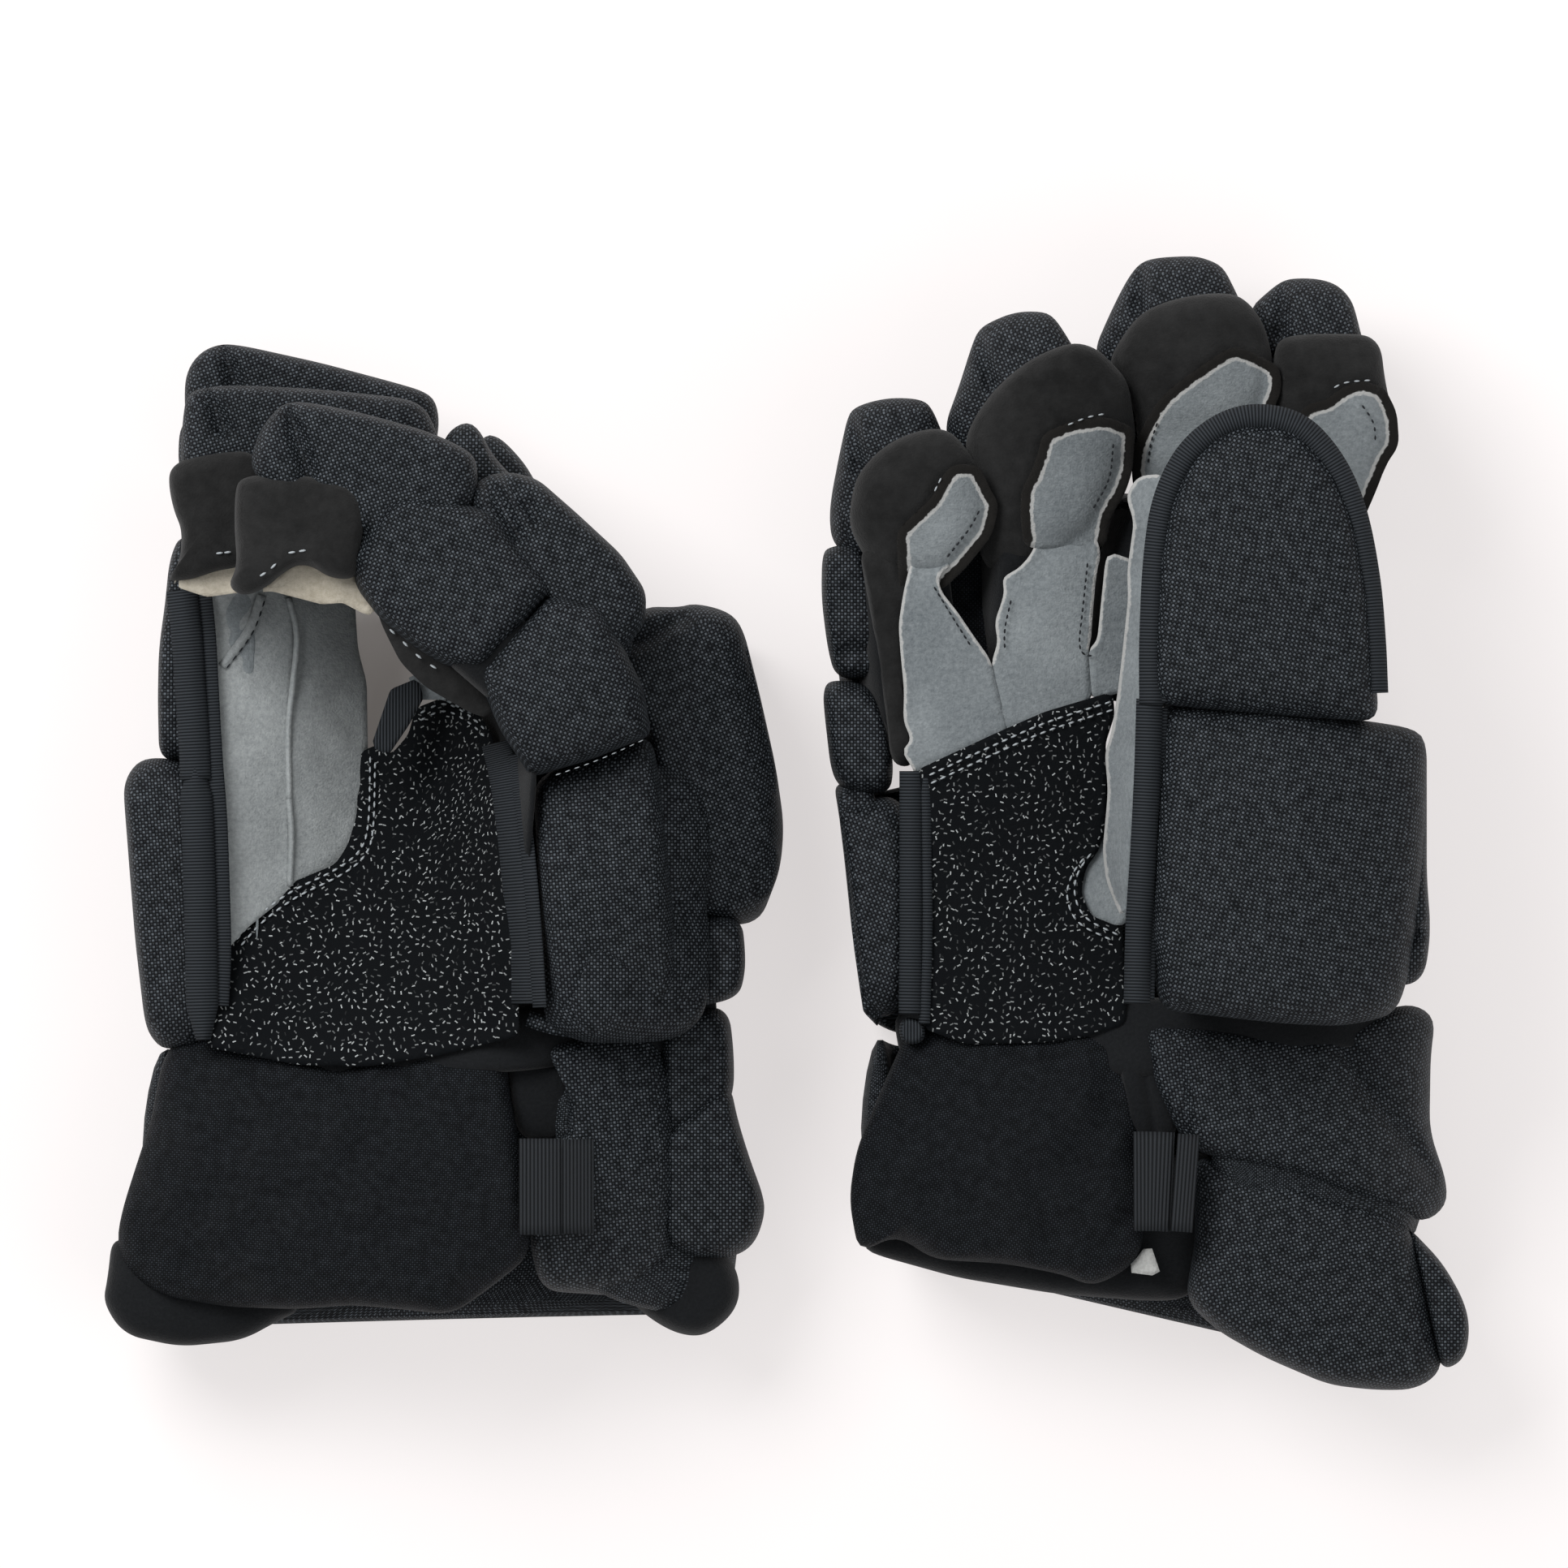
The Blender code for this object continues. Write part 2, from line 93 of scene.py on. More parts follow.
def plain_finish(name, colour, roughness):
    """A Principled material with one colour, ready for more nodes."""
    made = bpy.data.materials.new(name)
    made.use_nodes = True
    shader = made.node_tree.nodes["Principled BSDF"]
    shader.inputs["Base Color"].default_value = (*colour, 1.0)
    shader.inputs["Roughness"].default_value = roughness
    shader.inputs["Specular IOR Level"].default_value = SPECULAR
    return made


floor_mesh = bmesh.new()
bmesh.ops.create_grid(floor_mesh, x_segments=2, y_segments=2, size=4.0)
bmesh.ops.translate(floor_mesh, verts=floor_mesh.verts, vec=(0.0, 0.0, -FLOOR_DROP))
floor_finish = plain_finish("pale_floor", colour=(0.42, 0.405, 0.402), roughness=0.9)
floor_glow = floor_finish.node_tree.nodes["Principled BSDF"].inputs
floor_glow["Emission Strength"].default_value = 0.62
floor = link("pale_floor", floor_mesh, [floor_finish])
print("floor laid")

# %% Lights
def soft_light(name, place, aim, size, power):
    """A square lamp that looks at a point."""
    data = bpy.data.lights.new(name, "AREA")
    data.size = size
    data.energy = power
    lamp = bpy.data.objects.new(name, data)
    lamp.location = place
    lamp.rotation_euler = (Vector(aim) - Vector(place)).to_track_quat("-Z", "Y").to_euler()
    bpy.context.scene.collection.objects.link(lamp)
    return lamp


LAMP_AIM = (0.0, 0.0, 0.05)
soft_light("key_light", place=(-0.9, 0.9, 1.5), aim=LAMP_AIM, size=1.0, power=30.0)
soft_light("fill_light", place=(1.1, -0.7, 1.5), aim=LAMP_AIM, size=1.6, power=9.0)
world = bpy.data.worlds.new("soft_room")
world.use_nodes = True
world.node_tree.nodes["Background"].inputs["Color"].default_value = (0.97, 0.985, 1.0, 1.0)
world.node_tree.nodes["Background"].inputs["Strength"].default_value = 0.42
bpy.context.scene.world = world
print("two lamps and a pale room")

# %% [markdown]
# ## Finishes
# Five cloths make the gloves: black woven nylon, charcoal suede, grey palm suede, a flecked
# reinforcement cloth and ribbed tape. Weave and ribs come from sine waves on the cloth's own map, so
# that the pattern lies on every face.

# %% Node helper
def add_node(tree, kind, links=(), **values):
    """Add a node, set its properties and feed its inputs."""
    made = tree.nodes.new(kind)
    for name, value in values.items():
        setattr(made, name, value)
    for socket, source in links:
        if isinstance(source, bpy.types.NodeSocket):
            tree.links.new(source, made.inputs[socket])
        else:
            made.inputs[socket].default_value = source
    return made


def ramp(tree, source, low, high, start=0.0, end=1.0):
    """Blend between two colours over a range of a value."""
    made = add_node(tree, "ShaderNodeValToRGB", [("Fac", source)])
    made.color_ramp.elements[0].position = start
    made.color_ramp.elements[0].color = (*low, 1.0)
    made.color_ramp.elements[1].position = end
    made.color_ramp.elements[1].color = (*high, 1.0)
    return made.outputs["Color"]


# %% Floor glow
# The floor glows a little, so that it stays near white. Below the folded glove's grip its glow fades
# to a dark colour, painted shade, because the grip's gap shows the floor in shade.
GRIP_GAP = -0.130, 0.043, 0.0
SHADED, GLOWING = (0.16, 0.145, 0.135), (1.0, 0.955, 0.948)
SHADE_REACH, GLOW_REACH = 0.022, 0.045
floor_tree = floor_finish.node_tree
floor_place = add_node(floor_tree, "ShaderNodeTexCoord").outputs["Object"]
from_gap = add_node(floor_tree, "ShaderNodeVectorMath", [(0, floor_place), (1, GRIP_GAP)],
                    operation="DISTANCE").outputs["Value"]
floor_tree.links.new(ramp(floor_tree, from_gap, SHADED, GLOWING, SHADE_REACH, GLOW_REACH),
                     floor_glow["Emission Color"])
print("floor glow set")

# %% Weave group
def math_node(tree, operation, first, second=0.0):
    """One sum on one or two values."""
    return add_node(tree, "ShaderNodeMath", [(0, first), (1, second)], operation=operation).outputs[0]


LOW_THREAD, HIGH_THREAD = 0.4, 0.6    # a low thread's height, and how much more a high one has
THREAD_ROUND = 0.7    # below 1 makes threads fuller
weave = bpy.data.node_groups.new("basket_weave", "ShaderNodeTree")
weave.interface.new_socket("Vector", in_out="INPUT", socket_type="NodeSocketVector")
weave.interface.new_socket("Pitch", in_out="INPUT", socket_type="NodeSocketFloat")
weave.interface.new_socket("Height", in_out="OUTPUT", socket_type="NodeSocketFloat")
weave_in = weave.nodes.new("NodeGroupInput")
weave_out = weave.nodes.new("NodeGroupOutput")
threads = add_node(weave, "ShaderNodeSeparateXYZ", [(0, weave_in.outputs["Vector"])])
across = math_node(weave, "DIVIDE", threads.outputs[0], weave_in.outputs["Pitch"])
along = math_node(weave, "DIVIDE", threads.outputs[1], weave_in.outputs["Pitch"])
warp = math_node(weave, "ABSOLUTE", math_node(weave, "SINE", math_node(weave, "MULTIPLY", across, pi)))
weft = math_node(weave, "ABSOLUTE", math_node(weave, "SINE", math_node(weave, "MULTIPLY", along, pi)))
bulge = math_node(weave, "MULTIPLY", warp, weft)
cells = math_node(weave, "ADD", math_node(weave, "FLOOR", across), math_node(weave, "FLOOR", along))
turn = math_node(weave, "PINGPONG", cells, 1.0)
share = math_node(weave, "ADD", LOW_THREAD, math_node(weave, "MULTIPLY", turn, HIGH_THREAD))
over = math_node(weave, "MULTIPLY", math_node(weave, "POWER", bulge, THREAD_ROUND), share)
weave.links.new(over, weave_out.inputs["Height"])
print("weave group has", len(weave.nodes), "nodes")

# %% Black nylon
def cloth_map(tree):
    """The piece's own cloth map, in metres."""
    return add_node(tree, "ShaderNodeUVMap", uv_map="cloth").outputs["UV"]


def set_bump(tree, height, strength, distance):
    """Raise the surface by a height."""
    bump = add_node(tree, "ShaderNodeBump",
                    [("Height", height), ("Strength", strength), ("Distance", distance)])
    tree.links.new(bump.outputs["Normal"], tree.nodes["Principled BSDF"].inputs["Normal"])


def set_colour(tree, colour):
    """Feed the shader's colour."""
    tree.links.new(colour, tree.nodes["Principled BSDF"].inputs["Base Color"])


def cloth_noise(tree, uv, scale, detail, roughness=0.5):
    """A cloudy value on the cloth's map."""
    made = add_node(tree, "ShaderNodeTexNoise",
                    [("Vector", uv), ("Scale", scale), ("Detail", detail), ("Roughness", roughness)])
    return made.outputs["Fac"]


def woven_finish(name, dark, light, pitch, roughness):
    """Woven cloth whose raised threads get painted glints, lighter in some patches than in others."""
    made = plain_finish(name, dark, roughness)
    tree = made.node_tree
    uv = cloth_map(tree)
    group = add_node(tree, "ShaderNodeGroup", node_tree=weave)
    tree.links.new(uv, group.inputs["Vector"])
    group.inputs["Pitch"].default_value = pitch
    height = group.outputs["Height"]
    # Painted highlight: the colour goes from dark to light with the weave's height, as glints on the raised
    # threads.
    painted_glint = math_node(tree, "MULTIPLY", height, cloth_noise(tree, uv, scale=330.0, detail=4.0))
    set_colour(tree, ramp(tree, painted_glint, dark, light, start=0.10, end=0.62))
    set_bump(tree, height, strength=0.75, distance=0.0005)
    return made


# The light colours are painted glints on the raised threads.
nylon = woven_finish("black_nylon", dark=(0.0026, 0.0034, 0.0045), light=(0.125, 0.142, 0.160),
                     pitch=0.0010, roughness=0.55)
panel_cloth = woven_finish("cuff_cloth", dark=(0.0022, 0.0027, 0.0035), light=(0.036, 0.042, 0.050),
                           pitch=0.0007, roughness=0.66)
print("nylon ready")

# %% Suedes
SUEDE_ROUGHNESS, SUEDE_SHEEN = 0.96, 0.1
MOTTLE_SHARE, PATCH_SHARE = 0.6, 0.4


def suede_finish(name, dark, light, grain):
    """Napped leather: mottled colour and a soft fine bump."""
    made = plain_finish(name, dark, SUEDE_ROUGHNESS)
    tree = made.node_tree
    uv = cloth_map(tree)
    mottle = cloth_noise(tree, uv, grain, detail=6.0, roughness=0.75)
    patches = cloth_noise(tree, uv, scale=26.0, detail=2.0)
    shade = math_node(tree, "ADD", math_node(tree, "MULTIPLY", mottle, MOTTLE_SHARE),
                      math_node(tree, "MULTIPLY", patches, PATCH_SHARE))
    set_colour(tree, ramp(tree, shade, dark, light, start=0.34, end=0.66))
    nap = cloth_noise(tree, uv, scale=1500.0, detail=3.0)
    set_bump(tree, nap, strength=0.6, distance=0.0005)
    tree.nodes["Principled BSDF"].inputs["Sheen Weight"].default_value = SUEDE_SHEEN
    return made


dark_suede = suede_finish("charcoal_suede", dark=(0.0085, 0.0085, 0.0085), light=(0.0235, 0.0235, 0.0235),
                          grain=170.0)
PALM_GREYS = (0.125, 0.142, 0.152), (0.29, 0.315, 0.325)
PALM_GRAIN = 620.0
palm_suede = suede_finish("grey_palm_suede", *PALM_GREYS, PALM_GRAIN)
thumb_suede = suede_finish("pale_thumb_suede", dark=(0.19, 0.205, 0.21), light=(0.39, 0.41, 0.41),
                           grain=PALM_GRAIN)
raw_edge = suede_finish("raw_suede_edge", dark=(0.33, 0.33, 0.32), light=(0.60, 0.60, 0.58), grain=700.0)
cream_edge = suede_finish("cream_suede_edge", dark=(0.36, 0.32, 0.25), light=(0.62, 0.57, 0.48),
                          grain=500.0)
# Near-black lining; the inner finger lengths also wear it as painted shade.
lining_and_shade = suede_finish("smooth_lining_and_shade", dark=(0.0042, 0.0048, 0.0056), light=(0.0125, 0.0135, 0.0150),
                      grain=900.0)
print("suedes ready")

# %% [markdown]
# A cut panel carries a second map, "cut", that tells how far each place lies from the panel's cut
# edge. A colour ramp on it draws the pale raw cut and the dark fold of charcoal suede as fine lines,
# which no mesh of this size could hold.

# %% Cut suedes
GAP_SCALE = 200.0    # a gap of five millimetres fills the ramp
CUT_WANDER = 0.0014    # how far the bands' edges wander


def edged_suede(name, bands):
    """Grey suede with bands along its cut, each a gap from the cut, a colour and its strength."""
    made = suede_finish(name, *PALM_GREYS, PALM_GRAIN)
    tree = made.node_tree
    suede = tree.nodes["Principled BSDF"].inputs["Base Color"].links[0].from_socket
    cut_map = add_node(tree, "ShaderNodeUVMap", uv_map="cut").outputs["UV"]
    gap = add_node(tree, "ShaderNodeSeparateXYZ", [(0, cut_map)])
    fray = cloth_noise(tree, cloth_map(tree), scale=520.0, detail=4.0)
    wander = math_node(tree, "MULTIPLY", math_node(tree, "SUBTRACT", fray, 0.5), CUT_WANDER)
    place = math_node(tree, "MULTIPLY", math_node(tree, "ADD", gap.outputs[0], wander), GAP_SCALE)
    colours = add_node(tree, "ShaderNodeValToRGB", [("Fac", place)])
    elements = colours.color_ramp.elements
    while len(elements) < len(bands):
        elements.new(0.5)
    for element, (reach, colour, strength) in zip(elements, bands):
        element.position = reach * GAP_SCALE
        element.color = (*colour, strength)
    mixed = add_node(tree, "ShaderNodeMix",
                     [(0, colours.outputs["Alpha"]), (6, suede), (7, colours.outputs["Color"])],
                     data_type="RGBA")
    set_colour(tree, mixed.outputs[2])
    return made


DARK_FOLD, RAW_CUT = (0.012, 0.011, 0.010), (0.44, 0.44, 0.43)
cut_suede = edged_suede("cut_palm_suede", [
    (0.0, RAW_CUT, 1.0), (0.0007, RAW_CUT, 1.0), (0.0011, RAW_CUT, 0.0)])
strip_suede = edged_suede("folded_palm_suede", [
    (0.0, DARK_FOLD, 1.0), (0.0028, DARK_FOLD, 1.0), (0.0031, RAW_CUT, 1.0), (0.0038, RAW_CUT, 1.0),
    (0.0042, RAW_CUT, 0.0)])
print("cut suedes ready")

# %% Flecked reinforcement
DASH_LENGTH, DASH_WIDTH = 0.25, 0.085    # from a dash's middle, in cells
WHOLE_TURN = 6.28
DIMMING = 1.3    # above 1 makes more of the dashes dim


def flecked_finish(name, ground, fleck, spacing):
    """Black cloth with short pale dashes, one to each cell, turned at random and some of them dim."""
    made = plain_finish(name, ground, roughness=0.85)
    tree = made.node_tree
    uv = cloth_map(tree)
    scaled = add_node(tree, "ShaderNodeVectorMath", [(0, uv)], operation="SCALE")
    scaled.inputs["Scale"].default_value = 1.0 / spacing
    cell = add_node(tree, "ShaderNodeTexVoronoi", [("Vector", scaled.outputs[0]), ("Scale", 1.0)],
                    voronoi_dimensions="2D")
    offset = add_node(tree, "ShaderNodeVectorMath", [(0, scaled.outputs[0]), (1, cell.outputs["Position"])],
                      operation="SUBTRACT")
    random = add_node(tree, "ShaderNodeSeparateColor", [(0, cell.outputs["Color"])])
    spin = math_node(tree, "MULTIPLY", random.outputs[0], WHOLE_TURN)
    turned = add_node(tree, "ShaderNodeVectorRotate", [("Vector", offset.outputs[0]), ("Angle", spin)],
                      rotation_type="Z_AXIS")
    sides = add_node(tree, "ShaderNodeSeparateXYZ", [(0, turned.outputs[0])])
    long_side = math_node(tree, "LESS_THAN", math_node(tree, "ABSOLUTE", sides.outputs[0]), DASH_LENGTH)
    short_side = math_node(tree, "LESS_THAN", math_node(tree, "ABSOLUTE", sides.outputs[1]), DASH_WIDTH)
    mask = math_node(tree, "MULTIPLY", long_side, short_side)
    bright = math_node(tree, "MULTIPLY", mask, math_node(tree, "POWER", random.outputs[1], DIMMING))
    set_colour(tree, ramp(tree, bright, ground, fleck))
    fuzz = cloth_noise(tree, uv, scale=900.0, detail=3.0)
    set_bump(tree, math_node(tree, "ADD", fuzz, mask), strength=0.6, distance=0.0004)
    return made


flecked = flecked_finish("flecked_overlay", ground=(0.0022, 0.0030, 0.0040), fleck=(0.42, 0.44, 0.44),
                         spacing=0.0022)
print("flecked cloth ready")

# %% Ribbed tape and thread
def ribbed_finish(name, dark, light, pitch):
    """Tape with ribs across it, their crests painted lighter as highlights; the map's first axis runs along
    the tape.
    """
    made = plain_finish(name, dark, roughness=0.7)
    tree = made.node_tree
    run = add_node(tree, "ShaderNodeSeparateXYZ", [(0, cloth_map(tree))])
    wave = math_node(tree, "SINE", math_node(tree, "MULTIPLY", run.outputs[0], pi / pitch))
    rib_and_highlight = math_node(tree, "ABSOLUTE", wave)
    # Painted highlight: the rib crests take the light colour; the same ribs give the bump.
    set_colour(tree, ramp(tree, rib_and_highlight, dark, light))
    set_bump(tree, rib_and_highlight, strength=0.8, distance=0.0005)
    return made


tape = ribbed_finish("ribbed_tape", dark=(0.0035, 0.0042, 0.005), light=(0.036, 0.041, 0.047),
                     pitch=0.0010)
webbing = ribbed_finish("elastic_webbing", dark=(0.005, 0.0055, 0.0062), light=(0.030, 0.033, 0.037),
                        pitch=0.0012)
thread = plain_finish("pale_thread", colour=(0.40, 0.43, 0.45), roughness=0.7)
dark_thread = plain_finish("dark_thread", colour=(0.02, 0.022, 0.025), roughness=0.8)
print("tape, webbing and thread ready")

# %% [markdown]
# ## Cloth map
# Woven cloth needs a map that runs in metres. Every face takes the two axes that it faces least, as
# if the cloth were pressed on from the front, the side or above, turned by the angle at which the
# cloth was cut.

# %% Map the cloth
def map_cloth(bm, grain=0.0):
    """Give each face corner its place on the cloth, in metres."""
    layer = bm.loops.layers.uv.new("cloth")
    bm.normal_update()
    lean, rise = cos(radians(grain)), sin(radians(grain))
    for face in bm.faces:
        size = [abs(value) for value in face.normal]
        facing = size.index(max(size))
        first, second = [(1, 2), (0, 2), (0, 1)][facing]
        for corner in face.loops:
            across, along = corner.vert.co[first], corner.vert.co[second]
            corner[layer].uv = (across * lean + along * rise, along * lean - across * rise)


# %% [markdown]
# ## Drawing units
# Outlines are drawn on a plan of the pair. One drawing unit is about a quarter of a millimetre, the
# plan's corner lies at the top left, and plan() turns a drawn point into the frame's metres.

# %% Plan
UNIT = 0.0002535
PLAN_MIDDLE = 967.5, 1014.5
PLAN_SHIFT = 0.0017    # from the plan's middle to the frame's, sideways
CORNER_STEPS = 8


def plan(across, down):
    """A drawn point in metres."""
    return Vector(((across - PLAN_MIDDLE[0]) * UNIT + PLAN_SHIFT, (PLAN_MIDDLE[1] - down) * UNIT))


def drawn_length(points):
    """The length of a drawn path, seen from above."""
    return sum((plan(*a[:2]) - plan(*b[:2])).length for a, b in zip(points, points[1:]))


def evenly(path, count):
    """Places at even steps along a path, the end left out."""
    lengths = [(after - before).length for before, after in zip(path, path[1:])]
    step = sum(lengths) / count
    places, walked, index = [], 0.0, 0
    for number in range(count):
        while walked + lengths[index] < number * step - 1e-12:
            walked += lengths[index]
            index += 1
        share = (number * step - walked) / max(lengths[index], 1e-9)
        places.append(path[index].lerp(path[index + 1], share))
    return places


def rounded_loop(points, count, corner):
    """A closed outline with rounded corners, as evenly spaced places."""
    corners = [plan(*point) for point in points]
    fine = []
    for index, here in enumerate(corners):
        before, after = corners[index - 1] - here, corners[(index + 1) % len(corners)] - here
        start = here + before * min(0.5, corner / before.length)
        end = here + after * min(0.5, corner / after.length)
        for step in range(CORNER_STEPS + 1):
            t = step / CORNER_STEPS
            fine.append(start * (1.0 - t) ** 2 + here * 2.0 * t * (1.0 - t) + end * t * t)
    loop = evenly(fine + fine[:1], count)
    if sum(a.cross(b) for a, b in zip(loop, loop[1:] + loop[:1])) < 0.0:
        loop.reverse()
    return loop


# %% [markdown]
# ## Heights
# Cloth lies on what is under it. A few drawn points with their heights are enough: a thin bent plate
# through them gives a smooth height everywhere between, as a stiff sheet of leather would take.

# %% Bent plate through points
STIFF = 0.05    # keeps the plate from tilting sideways where its points lie in one line


def swell(distance):
    """How a bent plate rises with the distance from one of its points."""
    return distance ** 2 * np.log(distance + 1e-9)


def laid_on(points):
    """A function that gives the height of a plate through drawn points, or one level height."""
    if callable(points):
        return points
    if not isinstance(points, (list, tuple)):
        return lambda places: np.full(len(places), float(points))
    known = np.array([plan(across, down) for across, down, height in points])
    centre = known.mean(0)
    known = known - centre
    size = len(points)
    system = np.zeros((size + 3, size + 3))
    system[:size, :size] = swell(np.linalg.norm(known[:, None] - known[None], axis=2))
    system[:size, size] = system[size, :size] = 1.0
    system[:size, size + 1:] = known
    system[size + 1:, :size] = known.T
    system[size + 1:, size + 1:] = -STIFF * np.eye(2)
    weights = np.linalg.solve(system, np.array([height for across, down, height in points] + [0.0] * 3))

    def height_at(places):
        places = np.asarray(places, float) - centre
        bend = swell(np.linalg.norm(places[:, None] - known[None], axis=2)) @ weights[:size]
        return bend + weights[size] + places @ weights[size + 1:]
    return height_at


# %% [markdown]
# ## Padded pieces
# A stuffed pad is a ball of foam squeezed into a sewn outline: full in the middle, rounded at the
# seam, and pulled down along each sewn channel. A sphere already has the rings and poles for that, so
# each of its rings is laid on the outline and its height becomes the crown above and the belly below.
# No cloth simulation is run. The swelling is given here by the crown.

# %% Pad
LOOP_STEPS = 128
LEVELS = 40
RING_PULL = 1.6    # how strongly the rings crowd towards the rounded edge
PAD_CORNER = 0.006
WRINKLE_SCALE = 90.0
GATHER_SCALE = 260.0
GATHER_PULL = 6    # the higher, the closer the gathers stay to the seam


def ripple(place, scale, seed):
    """Smooth noise at a place."""
    return noise.noise(Vector((place[0] * scale, place[1] * scale, seed)))


def line_distance(point, ends):
    """How far a point lies from a drawn line."""
    start, end = plan(*ends[0]), plan(*ends[1])
    run = end - start
    share = max(0.0, min(1.0, (point - start).dot(run) / run.length_squared))
    return (point - start - run * share).length


def pad_mesh(outline, top, depth, crown, fullness=0.25, channels=(), wrinkle=0.0004, gather=0.0005,
             corner=PAD_CORNER, seed=0):
    """A sphere pressed into an outline: its crown lies on the heights of top, its belly below."""
    loop = rounded_loop(outline, LOOP_STEPS, corner)
    middle = sum(loop, Vector((0.0, 0.0))) / LOOP_STEPS
    bm = bmesh.new()
    bmesh.ops.create_uvsphere(bm, u_segments=LOOP_STEPS, v_segments=LEVELS, radius=1.0)
    verts = list(bm.verts)
    shares, places, edges = [], [], []
    for vert in verts:
        flat = Vector((vert.co.x, vert.co.y))
        angle = flat.angle_signed(Vector((1.0, 0.0))) if flat.length > 1e-6 else 0.0
        edge = loop[round(angle / (2.0 * pi) * LOOP_STEPS) % LOOP_STEPS]
        from_pole = acos(max(-1.0, min(1.0, abs(vert.co.z)))) / (pi / 2.0)
        share = 1.0 - (1.0 - from_pole) ** RING_PULL
        vert.co.z = copysign(max(0.0, 1.0 - share ** (2.0 / fullness)) ** 0.5, vert.co.z)
        shares.append(share)
        edges.append(edge)
        places.append(middle.lerp(edge, share))
    heights = laid_on(top)(places)
    for vert, share, place, edge, height in zip(verts, shares, places, edges, heights):
        rise = vert.co.z * (crown if vert.co.z > 0.0 else depth - crown)
        if vert.co.z > 0.0:
            dents = [deep * exp(-(line_distance(place, ends) / wide) ** 2)
                     for ends, deep, wide in channels]
            rise -= max(dents, default=0.0) * vert.co.z ** 0.5
            rise += wrinkle * ripple(place, WRINKLE_SCALE, seed)
            pull = ripple(edge, GATHER_SCALE, seed)
            rise += gather * pull * share ** GATHER_PULL * vert.co.z ** 0.5
        vert.co = Vector((place.x, place.y, max(0.0, height - crown + rise)))
    if bm.calc_volume(signed=True) < 0.0:
        bmesh.ops.reverse_faces(bm, faces=bm.faces)
    return bm


def pad(name, body, finish, slot, outline, top, depth, crown, nodes=(), grain=0.0, fill=0.7, blend=None,
        **shape):
    """Make a padded piece and let it ride on a body, or leave it unattached in place when blend is given."""
    bm = pad_mesh(outline, top, depth, crown, seed=len(name), **shape)
    map_cloth(bm, grain)
    made = link(name, bm, [finish])
    if blend:
        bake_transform(made)
    else:
        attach(made, body)
    if nodes:
        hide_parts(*nodes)
    return made


STEEP = 0.88    # share of the way to a pad's seam, beyond which its side is too steep to lie on


def pad_heights(outline, top, crown, fullness, above):
    """A function that gives a pad's upper side, for pieces that lie on it."""
    loop = np.array(rounded_loop(outline, LOOP_STEPS, PAD_CORNER))
    middle = loop.mean(0)
    spokes = loop - middle
    lengths = np.linalg.norm(spokes, axis=1)

    def height_at(places):
        offsets = np.asarray(places, float) - middle
        best = (offsets @ (spokes / lengths[:, None]).T).argmax(1)
        share = np.clip(np.linalg.norm(offsets, axis=1) / lengths[best], 0.0, STEEP)
        return laid_on(top)(places) - crown * (1.0 - np.sqrt(1.0 - share ** (2.0 / fullness))) + above
    return height_at


def set_on(heights, points, above):
    """Drawn points with the heights of the surface under them, raised a little."""
    found = laid_on(heights)([plan(*point) for point in points])
    return [(*point, float(height) + above) for point, height in zip(points, found)]


# %% [markdown]
# ## Cut panels
# Palm leather and overlay cloth are thin panels with crisp, wavy cuts. A fine grid is cut along the
# drawn outline, its rim is pulled onto the outline, and it is laid on the heights under it. A map of
# the distance from the cut lets the finish colour the edge, because raw leather is paler there and
# suede folds out in a dark ridge.

# %% Panel
def outline_gap(places, loop, used=None):
    """How far each place lies from an outline, or from its used stretches, and the nearest point."""
    start = np.array(loop)
    run = np.roll(start, -1, axis=0) - start
    if used is not None:
        start, run = start[used], run[used]
    share = ((places[:, None] - start) * run).sum(2) / np.maximum((run ** 2).sum(1), 1e-12)
    near = start + run * np.clip(share, 0.0, 1.0)[..., None]
    gaps = np.linalg.norm(places[:, None] - near, axis=2)
    best = gaps.argmin(1)
    rows = np.arange(len(places))
    return gaps[rows, best], near[rows, best]


def is_inside(places, loop):
    """Whether each place lies inside an outline."""
    start = np.array(loop)
    end = np.roll(start, -1, axis=0)
    x, y = places[:, None, 0], places[:, None, 1]
    crosses = (start[:, 1] > y) != (end[:, 1] > y)
    rise = np.where(end[:, 1] == start[:, 1], 1e-12, end[:, 1] - start[:, 1])
    border = (end[:, 0] - start[:, 0]) * (y - start[:, 1]) / rise + start[:, 0]
    return (crosses & (x < border)).sum(1) % 2 == 1


PANEL_STEPS = 260
PANEL_MESH = 0.0013
JOIN_REACH = 0.0022
SMOOTH_TURNS = 3
WAVE_SCALE = 120.0
FRAY_SCALE = 420.0
RIDGE_WIDTH = 0.0016
RIDGE_FRAY = 0.7    # share of a ridge's height that comes and goes


def cut_gaps(places, loop, joins):
    """How far places lie from a panel's cut; a stretch that lies on a join to a neighbour is no cut."""
    ends = np.array(loop)
    middles = (ends + np.roll(ends, -1, axis=0)) / 2.0
    used = [all(line_distance(Vector(point), line) > JOIN_REACH for line in joins) for point in middles]
    return outline_gap(places, loop, np.array(used))[0]


